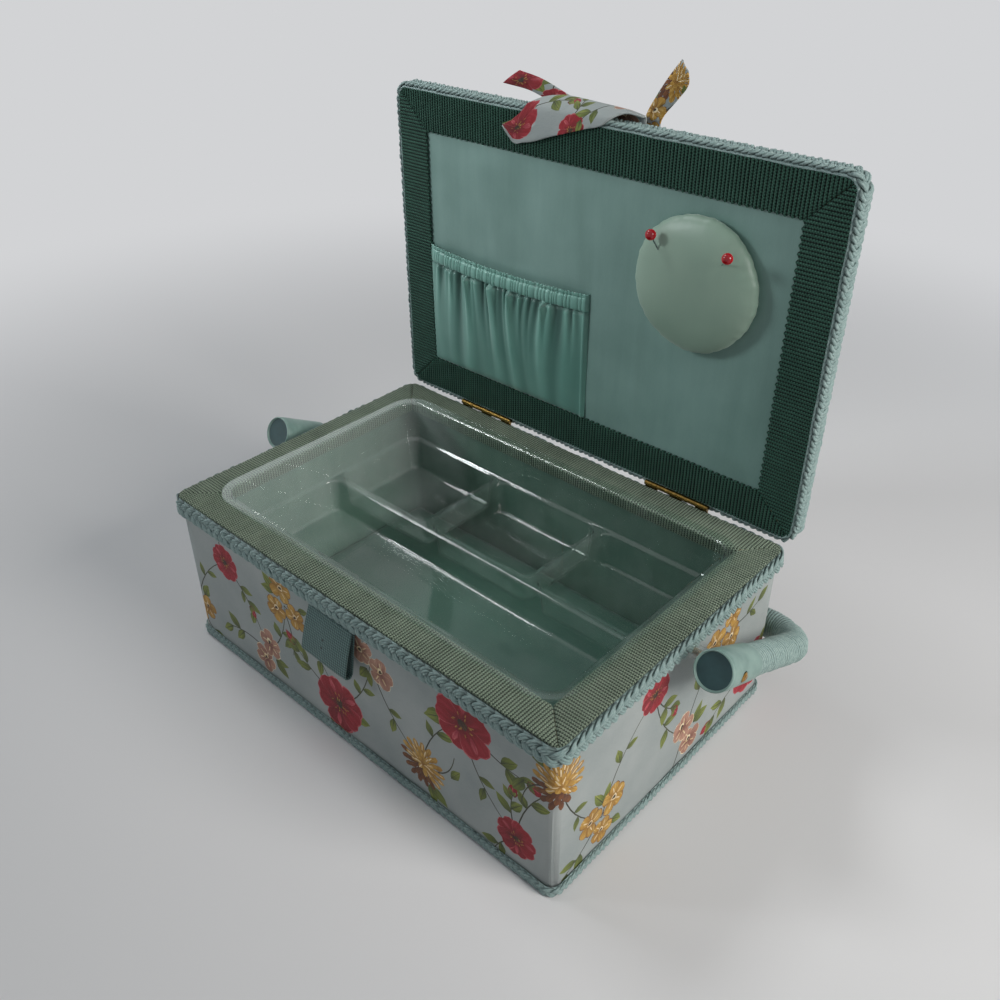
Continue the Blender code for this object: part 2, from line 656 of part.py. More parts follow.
def lid_shell(lid):
    """Webbing frame, lining, board, padding, floral cover and edge braid of the lid."""
    corners = lid_half(0)
    inner = lid_half(LID_WEBBING_WIDTH)
    centre_y = lid_centre()[1]
    for name, quarter in (("hinge", 0), ("right", 1), ("front", 2), ("left", 3)):
        along, across = (0, 1) if quarter % 2 == 0 else (1, 0)
        outline = [
            (-corners[along] + GAP, -corners[across]), (corners[along] - GAP, -corners[across]),
            (inner[along] - GAP, -inner[across]), (-inner[along] + GAP, -inner[across]),
        ]
        strip = prism(f"lid_webbing_{name}", outline, LID_FACE - WEBBING_THICKNESS, LID_FACE)
        strip.location = (0, centre_y, 0)
        strip.rotation_euler = (0, 0, quarter * math.pi / 2)
        finish(strip, "lid_webbing", lid)
    lining_top = LID_FACE - WEBBING_THICKNESS - GAP
    half = lid_half(LID_WEBBING_WIDTH - LID_LINING_MARGIN)
    outline = rounded_outline(*half, CORNER_RADIUS, lid_centre())
    lining_bottom = lining_top - LID_LINING_THICKNESS
    finish(prism("lid_lining", outline, lining_bottom, lining_top), "satin", lid)
    board_top = lining_bottom - GAP
    board_bottom = board_top - LID_BOARD_THICKNESS
    outline = rounded_outline(*lid_half(BOARD_INSET), CORNER_RADIUS, lid_centre())
    finish(prism("lid_board", outline, board_bottom, board_top), "board", lid)
    padded_edge = LID_FACE - LID_EDGE_THICKNESS + COVER_THICKNESS + GAP
    bm = bmesh.new()
    dome_grid(bm, lid_half(BOARD_INSET), padded_edge, LID_CROWN)
    rim = raise_border(bm, board_bottom - GAP)
    bmesh.ops.contextual_create(bm, geom=rim)
    finish(mesh_object("lid_padding", bm), "foam", lid, smooth=True)
    bm = bmesh.new()
    dome_grid(bm, lid_half(EDGE_SETBACK), LID_FACE - LID_EDGE_THICKNESS, LID_CROWN)
    raise_border(bm, lining_top)
    cover = mesh_object("lid_cover", bm)
    solidify = cover.modifiers.new("thickness", "SOLIDIFY")
    solidify.thickness = COVER_THICKNESS
    solidify.offset = solid_side(cover)
    solidify.use_even_offset = True
    finish(cover, "floral_cotton", lid, smooth=True)
    for side, centre in hinge_centres():
        reach = HINGE_LENGTH / 2 + GAP
        low = (centre - reach, LID_BACK - OVERRUN, lining_top - LEAF_RECESS)
        high = (centre + reach, LID_BACK + LEAF_REACH, lining_top + OVERRUN)
        boolean(cover, as_cutter(block(f"lid_leaf_recess_{side}", low, high), lid))
    braid_half = lid_half(EDGE_SETBACK - GAP)
    braid = ring_band(
        "lid_braid", braid_half, CORNER_RADIUS + GAP, LID_BRAID_THICKNESS,
        LID_FACE - LID_EDGE_THICKNESS + LID_BRAID_SETBACK, lining_top - LEAF_RECESS,
        centre=lid_centre(), chamfer=BRAID_CHAMFER,
    )
    finish(braid, "braid", lid)


def solid_side(obj):
    """The Solidify offset that thickens a cover towards the lid, whichever way its faces turned out."""
    lowest = min(obj.data.polygons, key=lambda face: face.center.z)
    return -1 if lowest.normal.z < 0 else 1


def pocket(lid):
    """A gathered satin pocket: its mouth towards the lid's front edge, its folds running from the mouth."""
    base = LID_FACE - WEBBING_THICKNESS + POCKET_THICKNESS / 2
    left = -(LENGTH / 2 - LID_WEBBING_WIDTH) + GAP
    foot = LID_BACK + LID_WEBBING_WIDTH + GAP
    columns, lines = 4 * POCKET_FOLDS, 8
    rows = []
    for line in range(lines + 1):
        up = line / lines
        row = []
        for column in range(columns + 1):
            across = column / columns
            spread = math.sin(math.pi * across) ** 0.5
            swell = POCKET_BULGE * math.sin(math.pi * (POCKET_FOOT_SHARE + POCKET_SWELL_SHARE * up))
            fold = POCKET_FOLD_DEPTH * math.cos(2 * math.pi * POCKET_FOLDS * across)
            fold *= POCKET_LEAST_FOLD_SHARE + (1 - POCKET_LEAST_FOLD_SHARE) * up
            rise = max(0, (swell + fold) * spread) if line else 0
            row.append((left + POCKET_WIDTH * across, foot + POCKET_HEIGHT * up, base + rise))
        rows.append(row)
    finish(sheet("pocket", rows, POCKET_THICKNESS), "pocket_satin", lid, smooth=True)


def pincushion_profile():
    """Crowned top, full shoulder and a drawn-in foot, as (radius, height) from top to bottom."""
    return [(PINCUSHION_RADIUS * r, PINCUSHION_CROWN * h) for r, h in PINCUSHION_SHARES]


def crown_height(distance):
    """Height of the pincushion's surface over its foot, at a distance from its middle."""
    profile = pincushion_profile()
    for (near, high), (far, low) in zip(profile, profile[1:]):
        if near <= distance <= far:
            return high + (low - high) * (distance - near) / (far - near)
    return 0


def pincushion_and_pins(lid):
    foot = LID_FACE - WEBBING_THICKNESS
    cushion = turned("pincushion", pincushion_profile(), FINE_STEPS)
    cushion.location = (PINCUSHION_PLACE[0], PINCUSHION_PLACE[1], foot)
    finish(cushion, "cushion_satin", lid, smooth=True)
    for name, (x, y) in PIN_ENTRIES.items():
        height = foot + crown_height(math.hypot(x, y))
        entry = Vector((PINCUSHION_PLACE[0] + x, PINCUSHION_PLACE[1] + y, height))
        lean = Vector(PIN_LEANS[name]).normalized()
        turn = lean.to_track_quat("Z", "Y")
        carrier = pivot_empty(f"{name}_axis", entry, turn, lid)
        ends = ((0, 0, -PIN_BURIED), (0, 0, PIN_SHOWN))
        shaft = rod(f"{name}_shaft", PIN_SHAFT_RADIUS, *ends, steps=PIN_STEPS)
        finish(shaft, "steel", carrier)
        head = turned(f"{name}_head", ball_profile(PIN_HEAD_RADIUS), ROUND_STEPS)
        head.location = (0, 0, PIN_SHOWN + GAP + PIN_HEAD_RADIUS)
        finish(head, "red_glass", carrier, smooth=True)
        ends = ((0, 0, -PIN_BURIED - GAP), (0, 0, PIN_SHOWN + OVERRUN))
        bore = rod(f"{name}_bore", PIN_SHAFT_RADIUS + PIN_BORE_CLEARANCE, *ends, steps=PIN_STEPS)
        boolean(cushion, as_cutter(bore, carrier))


def ball_profile(radius, rings=8):
    """Points down one side of a ball, with both poles on the axis."""
    angles = [math.pi * k / rings for k in range(1, rings)]
    side = [(radius * math.sin(angle), radius * math.cos(angle)) for angle in angles]
    return [(0, radius), *side, (0, -radius)]


def pad_surface(x, y):
    """Where the lid's padded outer side lies at a place on the lid, in the lid's axes."""
    half = lid_half(EDGE_SETBACK)
    share_y = (y - lid_centre()[1]) / half[1]
    return LID_FACE - LID_EDGE_THICKNESS - dome_height(x / half[0], share_y, LID_CROWN)


def bow(lid):
    """A ribbon bow: its knot and one loop behind the lid's front edge, the other loop folded over it."""
    size = BOW_KNOT_SIZE
    top = LID_FRONT - BOW_KNOT_DROP
    front = pad_surface(BOW_CENTRE, top - size[1]) - GAP
    low = (BOW_CENTRE - size[0] / 2, top - size[1], front - size[2])
    high = (BOW_CENTRE + size[0] / 2, top, front)
    knot = block("bow_knot", low, high)
    bevel = knot.modifiers.new("soft edges", "BEVEL")
    bevel.width = BOW_KNOT_SOFTNESS
    bevel.segments = 3
    middle = (low[2] + high[2]) / 2
    starts = {"left": (low[0] - GAP, low[1]), "right": (low[0] + BOW_CLOTH, high[1] + GAP)}
    reaches = {"left": -BOW_LEFT_TAIL_REACH, "right": BOW_RIGHT_TAIL_REACH}
    rises = {"left": BOW_LEFT_TAIL_RISE, "right": BOW_RIGHT_TAIL_RISE}
    shares = {"left": BOW_LEFT_TAIL_SHARES, "right": BOW_RIGHT_TAIL_SHARES}
    pieces = [knot, bow_inner_loop(BOW_CENTRE), bow_outer_loop(high[0] + GAP, (low[1] + high[1]) / 2)]
    for side, start in starts.items():
        pieces.append(bow_tail(side, start, middle, reaches[side], rises[side], shares[side]))
    for piece in pieces:
        finish(piece, "floral_cotton", lid, smooth=True)


def over_edge(way, lift):
    """A place on the way a ribbon takes: up behind the lid's edge, across it and down the inner face."""
    top = LID_FRONT - EDGE_SETBACK + LID_BRAID_THICKNESS + 2 * GAP + BOW_CLOTH / 2
    back = pad_surface(BOW_CENTRE, top - BOW_LOOP_BEHIND) - GAP - BOW_CLOTH / 2
    face = LID_FACE + GAP + BOW_CLOTH / 2
    across = face - back
    travel = (BOW_LOOP_BEHIND + across + BOW_LOOP_DROP) * way
    rise = BOW_LOOP_LIFT * lift * math.sin(math.pi * min(1, travel / (BOW_LOOP_BEHIND + across)))
    if travel < BOW_LOOP_BEHIND:
        return top - BOW_LOOP_BEHIND + travel + rise, back
    travel -= BOW_LOOP_BEHIND
    if travel < across:
        return top + rise, back + travel
    travel -= across
    return top - travel, face + BOW_LOOP_SWELL * math.sin(math.pi * min(1, travel / BOW_LOOP_DROP))


def bow_inner_loop(right):
    """The loop that comes over the edge and hangs down the lid's inner face, deepest near its far end."""
    steps = 10
    rows = []
    for along, start, end, lift in BOW_LOOP_SHARES:
        row = []
        for k in range(steps + 1):
            y, z = over_edge(start + (end - start) * k / steps, lift)
            row.append((right - BOW_LOOP_REACH * along, y, z))
        rows.append(row)
    return sheet("bow_loop_inner", rows, BOW_CLOTH)


def bow_outer_loop(x, y):
    """The other loop, a flattened ring of ribbon that leaves the knot and lies along the lid's outer side."""
    steps = 16
    lowest = y - BOW_OUTER_LOOP_LENGTH * math.sin(BOW_OUTER_LOOP_DROOP) - BOW_OUTER_LOOP_WIDTH / 2
    z = pad_surface(x, lowest) - GAP - (BOW_OUTER_LOOP_HEIGHT + BOW_CLOTH) / 2
    out = Vector((math.cos(BOW_OUTER_LOOP_DROOP), -math.sin(BOW_OUTER_LOOP_DROOP), 0))
    side = Vector((-out.y, out.x, 0))
    narrow = BOW_OUTER_LOOP_WIDTH / 4
    start = Vector((x + BOW_CLOTH / 2 + narrow * math.sin(BOW_OUTER_LOOP_DROOP), y, z))
    opening = math.pi / steps
    rows = []
    for k in range(steps + 1):
        angle = opening + 2 * (math.pi - opening) * k / steps
        reach = (1 - math.cos(angle)) / 2
        place = start + out * BOW_OUTER_LOOP_LENGTH * reach
        place.z += BOW_OUTER_LOOP_HEIGHT / 2 * math.sin(angle)
        half_width = side * narrow * (1 + reach)
        rows.append([place - half_width, place + half_width])
    return sheet("bow_loop_outer", rows, BOW_CLOTH)


def bow_tail(side, start, z, reach, rise, shares):
    """A tail with its cut end, curling a little along its length."""
    rows = []
    for near_x, near_y, far_x, far_y in shares:
        curl = BOW_TAIL_CURL * near_y
        near = (start[0] + reach * near_x, start[1] + rise * near_y, z + curl)
        far = (start[0] + reach * far_x, start[1] + rise * far_y, z + curl)
        rows.append([near, far])
    return sheet(f"bow_tail_{side}", rows, BOW_CLOTH)


def handle_route(start):
    """Centre line of the bail in the handle's axes, from one leg's start round to the other's."""
    bend_y = HANDLE_REACH - HANDLE_BEND_RADIUS
    steps = 8
    right = [(LEG_X, start, 0)]
    for k in range(steps + 1):
        angle = math.pi / 2 * k / steps
        x = LEG_X - HANDLE_BEND_RADIUS * (1 - math.cos(angle))
        right.append((x, bend_y + HANDLE_BEND_RADIUS * math.sin(angle), 0))
    return right + [(-x, y, z) for x, y, z in reversed(right)]


def cap_body(name):
    """A tapered sleeve cap about its own Z axis, open to the core at one end and recessed at the other."""
    far = CAP_LENGTH - CAP_AHEAD_OF_PIVOT
    near = -CAP_AHEAD_OF_PIVOT
    socket = CORE_RADIUS + GAP
    return turned(name, [
        (0, far - CAP_SOCKET), (socket, far - CAP_SOCKET), (socket, far), (CAP_END_RADIUS, far),
        (CAP_FACE_RADIUS, near + CAP_LENGTH / 4), (CAP_FACE_RADIUS, near), (CAP_FACE_RADIUS - CAP_RIM, near),
        (CAP_FACE_RADIUS - CAP_RIM, near + CAP_RECESS), (0, near + CAP_RECESS),
    ], steps=CAP_STEPS)


def handle_bail(handle):
    """Cord-wrapped bail with a plastic core, and a cap, screw and clear spacer on each side."""
    cap_end = CAP_LENGTH - CAP_AHEAD_OF_PIVOT
    core = tube_mesh("handle_core", handle_route(cap_end - CAP_SOCKET + GAP), CORE_RADIUS, 3)
    finish(core, "handle_plastic", handle, smooth=True)
    wrap = tube_mesh("handle_wrap", handle_route(cap_end + GAP), WRAP_RADIUS, 4, caps=False)
    finish(wrap, "cord_wrap", handle, smooth=True)
    skin = wrap.modifiers.new("thickness", "SOLIDIFY")
    skin.thickness = WRAP_RADIUS - CORE_RADIUS - GAP
    skin.offset = -1
    hole = SCREW_RADIUS + SCREW_CLEARANCE
    seat = LEG_X + CAP_FACE_RADIUS - SCREW_SEAT
    through = as_cutter(
        rod("cap_hole", hole, (-seat - SCREW_SEAT, 0, 0), (seat + SCREW_SEAT, 0, 0)), handle
    )
    for side, sign in (("left", -1), ("right", 1)):
        cap = cap_body(f"handle_cap_{side}")
        cap.rotation_euler = (-math.pi / 2, 0, 0)
        cap.location = (sign * LEG_X, 0, 0)
        finish(cap, "handle_plastic", handle, smooth=True)
        boolean(cap, through)
        mouth = seat + 2 * OVERRUN + SCREW_SEAT
        ends = ((sign * seat, 0, 0), (sign * mouth, 0, 0))
        sink = rod(f"screw_seat_{side}", SCREW_HEAD_RADIUS + GAP, *ends)
        boolean(cap, as_cutter(sink, handle))


def pivots():
    """The screw through each cap, and the clear spacer that holds the cap off the wall."""
    wall_face = COVER_HALF[0]
    spacer_end = LEG_X - CAP_FACE_RADIUS - GAP
    seat = LEG_X + CAP_FACE_RADIUS - SCREW_SEAT
    tip = LENGTH / 2 - BOARD_INSET - WALL_THICKNESS + OVERRUN
    bore = SCREW_RADIUS + SCREW_CLEARANCE
    for side, sign in (("left", -1), ("right", 1)):
        turn = Vector((sign, 0, 0)).to_track_quat("Z", "Y")
        spacer = turned(f"pivot_spacer_{side}", [
            (bore, spacer_end), (SPACER_RADIUS, spacer_end), (SPACER_RADIUS, wall_face + GAP),
            (bore, wall_face + GAP), (bore, spacer_end),
        ])
        screw = turned(f"pivot_screw_{side}", [
            (0, seat + GAP + SCREW_HEAD_HEIGHT),
            (SCREW_HEAD_RADIUS / 2, seat + GAP + SCREW_HEAD_HEIGHT),
            (SCREW_HEAD_RADIUS, seat + GAP + SCREW_HEAD_HEIGHT / 2),
            (SCREW_HEAD_RADIUS, seat + GAP), (SCREW_RADIUS, seat + GAP), (SCREW_RADIUS, tip), (0, tip),
        ])
        for piece, material in ((spacer, "clear_plastic"), (screw, "brass")):
            piece.rotation_mode = "QUATERNION"
            piece.rotation_quaternion = turn
            piece.location = PIVOT
            finish(piece, material, smooth=True)


def frustum(name, half, radius, shrink, top, bottom, centre=(0, 0)):
    """A drafted rounded block, smaller at its foot."""
    upper = rounded_outline(*half, radius, centre)
    lower = rounded_outline(half[0] - shrink, half[1] - shrink, radius, centre)
    return loft(name, [[(x, y, bottom) for x, y in lower], [(x, y, top) for x, y in upper]])


def tray_cells():
    """Centre and half size of each compartment at the tray's step: one long one and a row behind it."""
    reach_x, reach_y = (value - TRAY_DRAFT - TRAY_LEDGE - TRAY_WALL for value in tray_half())
    split = DIVIDER_BEHIND_CENTRE
    front_top = split - DIVIDER_WIDTH / 2
    back_foot = split + DIVIDER_WIDTH / 2
    cells = [((0, (front_top - reach_y) / 2), (reach_x, (front_top + reach_y) / 2))]
    width = (2 * reach_x - (BACK_CELLS - 1) * DIVIDER_WIDTH) / BACK_CELLS
    for k in range(BACK_CELLS):
        x = -reach_x + width / 2 + k * (width + DIVIDER_WIDTH)
        cells.append(((x, (back_foot + reach_y) / 2), (width / 2, (reach_y - back_foot) / 2)))
    return cells


def tray_half():
    """Half sizes of the tray's outer wall at the rim."""
    return tuple(value - TRAY_CLEARANCE for value in inset_half(RIM_WEBBING_LAND))


def tray_body():
    """One clear moulding: a lip, an open upper part and four drafted compartments with hollow dividers."""
    carrier = pivot_empty("tray_lift", (0, 0, RIM_HEIGHT))
    half = tray_half()
    lip_half = tuple(value + TRAY_LIP for value in half)
    lip_top = GAP + TRAY_WALL
    lip_radius = TRAY_CORNER_RADIUS + TRAY_LIP
    tray = prism("tray", rounded_outline(*lip_half, lip_radius), GAP, lip_top)
    finish(tray, "clear_plastic", carrier)
    inner_half = tuple(value - TRAY_WALL for value in half)
    step = -TRAY_STEP
    upper = frustum(
        "tray_upper", half, TRAY_CORNER_RADIUS, TRAY_DRAFT, lip_top - TRAY_WALL / 2, step - TRAY_WALL
    )
    boolean(tray, as_cutter(upper, carrier), "UNION")
    floor = -TRAY_DEPTH
    for k, (centre, cell) in enumerate(tray_cells()):
        grown = tuple(value + TRAY_WALL for value in cell)
        outside = frustum(
            f"tray_cell_outside_{k}", grown, CELL_CORNER_RADIUS + TRAY_WALL, CELL_DRAFT,
            step - TRAY_WALL / 2, floor - TRAY_WALL, centre,
        )
        boolean(tray, as_cutter(outside, carrier), "UNION")
    inner_radius = TRAY_CORNER_RADIUS - TRAY_WALL
    hollow = frustum("tray_hollow", inner_half, inner_radius, TRAY_DRAFT, lip_top + OVERRUN, step)
    boolean(tray, as_cutter(hollow, carrier))
    for k, (centre, cell) in enumerate(tray_cells()):
        inside = frustum(
            f"tray_cell_inside_{k}", cell, CELL_CORNER_RADIUS, CELL_DRAFT, step + OVERRUN, floor, centre
        )
        boolean(tray, as_cutter(inside, carrier))


def build():
    lid_turn = Matrix.Rotation(math.pi / 2, 3, "X").to_quaternion()
    lid = pivot_empty("lid_hinge", (0, HINGE_Y, HINGE_Z), lid_turn)
    handle_turn = Matrix.Rotation(-HANDLE_ANGLE, 3, "X").to_quaternion()
    handle = pivot_empty("handle_swing", PIVOT, handle_turn)
    ends = [PIVOT + Vector((sign * LEG_X, 0, 0)) for sign in (-1, 1)]
    screw_hole = as_cutter(rod("screw_hole", SCREW_RADIUS + SCREW_CLEARANCE, *ends))
    spacer_notch = as_cutter(rod("spacer_notch", SPACER_RADIUS + GAP, *ends))
    base_pieces()
    wall_boards(screw_hole)
    covers_and_lining(screw_hole)
    rim_frame()
    rim_webbing()
    braids(spacer_notch)
    front_tab()
    hinges(lid)
    lid_shell(lid)
    pocket(lid)
    pincushion_and_pins(lid)
    bow(lid)
    handle_bail(handle)
    pivots()
    tray_body()


build()
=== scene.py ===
"""Looks of a fabric covered sewing basket with a hinged lid, a bail handle and a clear tray.

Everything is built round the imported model, in its frame: +Z up, the front facing -Y. Lengths are in
millimetres, except what goes straight to Blender. A pitch is the distance from one thread, rib or turn to
the next.
"""

import math
import random
from cmath import phase, rect
from collections import namedtuple

import bmesh
import bpy
import numpy as np
from mathutils import Matrix, Vector
from mathutils.geometry import delaunay_2d_cdt


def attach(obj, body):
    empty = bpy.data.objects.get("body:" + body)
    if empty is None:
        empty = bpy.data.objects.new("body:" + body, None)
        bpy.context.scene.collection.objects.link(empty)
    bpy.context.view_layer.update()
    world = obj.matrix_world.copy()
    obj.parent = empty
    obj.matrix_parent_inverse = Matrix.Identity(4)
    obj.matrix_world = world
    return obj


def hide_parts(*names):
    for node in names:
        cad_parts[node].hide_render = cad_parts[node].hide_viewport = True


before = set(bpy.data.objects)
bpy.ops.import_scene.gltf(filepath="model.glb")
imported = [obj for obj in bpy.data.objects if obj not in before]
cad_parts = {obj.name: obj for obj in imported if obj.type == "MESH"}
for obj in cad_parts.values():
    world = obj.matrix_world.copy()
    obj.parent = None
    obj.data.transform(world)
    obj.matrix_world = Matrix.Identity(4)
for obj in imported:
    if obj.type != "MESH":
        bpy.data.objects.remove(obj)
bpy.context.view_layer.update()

MM = 0.001
TAU = 2 * math.pi


def shrunk(half, by):
    return half[0] - by, half[1] - by


# The model's own sizes, as in its source
HALF = (130.0, 85.5)
RIM = 93.7
CORNER = 5.0
HINGE_Y = 86.1
HINGE_Z = 95.6
LID_FACE = -1.9
LID_BACK = 0.6
LID_DEPTH = 172.0
LID_TOP = LID_BACK + LID_DEPTH
LID_HALF = (130.0, LID_DEPTH / 2)
LID_MIDDLE = LID_BACK + LID_DEPTH / 2
LID_EDGE = 10.5
LID_CROWN = 5.5
PIVOT = (5.0, 83.5)
HANDLE_LEAN = math.radians(27)
HANDLE_LEG = 148.2
BOW_X = 22.0

# The printed covers lie half a millimetre inside those outlines, and the webbings' roots under the faces
COVER_HALF = shrunk(HALF, 0.5)
LID_COVER_HALF = shrunk(LID_HALF, 0.5)
PANEL_HALF = (115.5, 71.5)
WEBBING_SEAT = 0.45

CAMERA_PLACE = (0.286, -0.2877, 0.3787)
CAMERA_TURNS = ((42.5, "Z"), (56.0, "X"), (-0.31, "Z"))
BACKDROP = "d2d3d5"


# ---------------------------------------------------------------- shader values

def linear(code):
    """A linear colour from a hex code."""
    parts = [int(code[i:i + 2], 16) / 255 for i in (0, 2, 4)]
    return tuple(p / 12.92 if p <= 0.04045 else ((p + 0.055) / 1.055) ** 2.4 for p in parts) + (1.0,)


def plug(socket, value):
    """Gives a socket a shader value, a number, a tuple or a colour's hex code."""
    if isinstance(value, Value):
        socket.id_data.links.new(value.socket, socket)
    else:
        socket.default_value = linear(value) if isinstance(value, str) else value


def node(tree, kind, values=None, output=0, **settings):
    """Adds a node. Gives one of its outputs, or all of them where output is None."""
    made = tree.nodes.new("ShaderNode" + kind)
    for key, value in settings.items():
        setattr(made, key, value)
    for key, value in (values or {}).items():
        plug(made.inputs[key], value)
    return [Value(socket) for socket in made.outputs] if output is None else Value(made.outputs[output])


class Value:
    """A shader value. Plain arithmetic on it adds one Math node for each sign."""

    def __init__(self, socket):
        self.socket = socket

    def node(self, kind, values, output=0, **settings):
        return node(self.socket.id_data, kind, values, output, **settings)

    def maths(self, operation, other=0.0):
        return self.node("Math", {0: self, 1: other}, operation=operation)

    def __add__(self, other):
        return self.maths("ADD", other)

    def __mul__(self, other):
        return self.maths("MULTIPLY", other)

    def __truediv__(self, other):
        return self.maths("DIVIDE", other)

    def __rsub__(self, other):
        return self.node("Math", {0: other, 1: self}, operation="SUBTRACT")

    def ramp(self, low, high):
        """0 at the low end, 1 at the high end."""
        return self.node("MapRange", {"Value": self, "From Min": low, "From Max": high}, "Result")

    def mix(self, low, high):
        """The colour between two others, by this value."""
        return self.node("Mix", {0: self, 6: low, 7: high}, 2, data_type="RGBA")

    def scaled(self, *scale):
        return self.node("Mapping", {"Vector": self, "Scale": scale}, "Vector")

    def parts(self):
        """A vector's X, Y and Z."""
        return self.node("SeparateXYZ", {"Vector": self}, None)

    def noise(self, scale, detail=2.0, rough=0.5):
        return self.node("TexNoise", {"Vector": self, "Scale": scale, "Detail": detail, "Roughness": rough}, "Fac")

    def weave(self, pitch):
        """Height of a plain weave in a vector's X and Y."""
        across, along = ((part * (TAU / pitch)).maths("SINE") for part in self.parts()[:2])
        return across * along

    def bump(self, distance, strength):
        return self.node("Bump", {"Height": self, "Strength": strength, "Distance": distance * MM}, "Normal")


def rays(tree, *kinds):
    """1 for rays of these kinds."""
    found = [node(tree, "LightPath", output=f"Is {kind} Ray") for kind in kinds]
    while len(found) > 1:
        found.append(found.pop().maths("MAXIMUM", found.pop()))
    return found[0]


class Finish:
    """A new material. Its shader's sockets are named with _ for a space."""

    def __init__(self, name, roughness, **sockets):
        self.material = bpy.data.materials.new(name)
        self.material.use_nodes = True
        self.tree = self.material.node_tree
        self.shader = self.tree.nodes["Principled BSDF"]
        self.set(Roughness=roughness, **sockets)

    def set(self, **sockets):
        for name, value in sockets.items():
            plug(self.shader.inputs[name.replace("_", " ")], value)

    def place(self):
        """Object coordinates in millimetres."""
        return node(self.tree, "TexCoord", output="Object").scaled(1000, 1000, 1000)

    def uv(self, name="UVMap"):
        return node(self.tree, "UVMap", output="UV", uv_map=name)

    def marked(self, name):
        return node(self.tree, "Attribute", output="Fac", attribute_name=name)

    def done(self, colour, height, distance, strength=1.0):
        """The material, with its colour and its bump."""
        self.set(Base_Color=colour, Normal=height.bump(distance, strength))
        return self.material

    def swap(self, share, other):
        """Puts another shader in this one's place where share is 1."""
        both = node(self.tree, "MixShader", {0: share, 1: Value(self.shader.outputs[0]), 2: other})
        plug(self.tree.nodes["Material Output"].inputs["Surface"], both)


# ---------------------------------------------------------------- camera, floor and light

def added(name, data):
    """A new object in the scene."""
    made = bpy.data.objects.new(name, data)
    bpy.context.scene.collection.objects.link(made)
    return made


def camera():
    data = bpy.data.cameras.new("camera")
    data.lens, data.sensor_width, data.clip_start = 35.5, 36, 0.01
    turn = Matrix.Translation(CAMERA_PLACE)
    for degrees, axis in CAMERA_TURNS:
        turn = turn @ Matrix.Rotation(math.radians(degrees), 4, axis)
    made = added("camera", data)
    made.matrix_world = turn
    bpy.context.scene.camera = made


def lamp(name, place, target, size, power, colour, spread=180):
    """A rectangular lamp. Its place, target and size are in metres."""
    data = bpy.data.lights.new(name, "AREA")
    data.shape = "RECTANGLE"
    data.size, data.size_y = size
    data.energy, data.color, data.spread = power, colour, math.radians(spread)
    made = added(name, data)
    made.location = place
    made.rotation_euler = (Vector(target) - Vector(place)).to_track_quat("-Z", "Y").to_euler()


def shown(tree):
    """1 for rays that show the background: from the camera, off gloss and through clear plastic."""
    return rays(tree, "Camera", "Glossy", "Transmission")


def surroundings():
    scene = bpy.context.scene
    scene.view_settings.view_transform = "Standard"
    world = bpy.data.worlds.new("world")
    world.use_nodes = True
    tree = world.node_tree
    light = node(tree, "Background", {"Color": "d6e2ea", "Strength": 0.21})
    pale = node(tree, "Background", {"Color": BACKDROP, "Strength": 1.0})
    both = node(tree, "MixShader", {0: shown(tree), 1: light, 2: pale})
    plug(tree.nodes["World Output"].inputs["Surface"], both)
    scene.world = world

    bm = bmesh.new()
    bmesh.ops.create_circle(bm, cap_ends=True, segments=64, radius=3)
    mesh = bpy.data.meshes.new("floor")
    bm.to_mesh(mesh)
    bm.free()
    floor = added("floor", mesh)
    cloth = Finish("floor", 0.9, Base_Color="dddbdb")
    tree = cloth.tree
    far = node(tree, "VectorMath", {0: node(tree, "TexCoord", output="Object")}, "Value", operation="LENGTH")
    away = far.node(
        "MapRange", {"Value": far, "From Min": 0.3, "From Max": 0.85}, "Result", interpolation_type="SMOOTHSTEP",
    )
    cloth.swap(away * shown(tree), node(tree, "Emission", {"Color": BACKDROP, "Strength": 1.0}))
    mesh.materials.append(cloth.material)

    lamp(
        "key", (0.98, 0.16, 0.62), target=(0.08, 0.06, 0.03), size=(0.5, 0.5), power=3.02,
        colour=(1, 0.985, 0.955), spread=100,
    )
    lamp(
        "window", (-0.74, -0.08, 1.15), target=(0, 0, 0.08), size=(0.46, 0.34), power=4.4,
        colour=(0.95, 0.98, 1.0),
    )
    lamp(
        "lid", (-0.72, -0.6, 0.62), target=(-0.08, 0.09, 0.23), size=(0.25, 0.25), power=0.26,
        colour=(0.93, 0.98, 1.0), spread=36,
    )


# ---------------------------------------------------------------- materials

def webbing_material(name, deep, dark, light, bead_pitch):
    """Ribs are geometry. Beads along each rib, painted shade in the hollows between beads and ribs, and fine fibre
    are here.
    """
    look = Finish(name, 0.8, Specular_IOR_Level=0.2, Sheen_Weight=0.05, Sheen_Roughness=0.5)
    rib, across, _ = look.uv().parts()
    shift = rib.maths("FLOOR").maths("PINGPONG", 1.0) * 0.5
    place = look.place()
    fibre, uneven, patch = place.noise(2.2, 4.0, 0.7), place.noise(0.55), place.noise(0.09)
    bead = across / bead_pitch + (shift + uneven * 0.5)
    bead = (bead * math.pi).maths("SINE").maths("ABSOLUTE")
    crest = (rib * math.pi).maths("COSINE").maths("ABSOLUTE")
    thread = (bead * crest.ramp(0.0, 0.55)).maths("MAXIMUM", crest * 0.62)
    level = thread * 0.8 + fibre * 0.45 + patch * 0.25
    # Painted shade: colour follows the threads' height, so the hollows between beads and ribs go to the deep colour
    # and the crests to the light one.
    colour = level.ramp(0.45, 0.72).mix(deep, dark)
    colour = level.ramp(0.66, 1.28).mix(colour, light)
    return look.done(colour, thread + fibre * 0.6, 0.5)


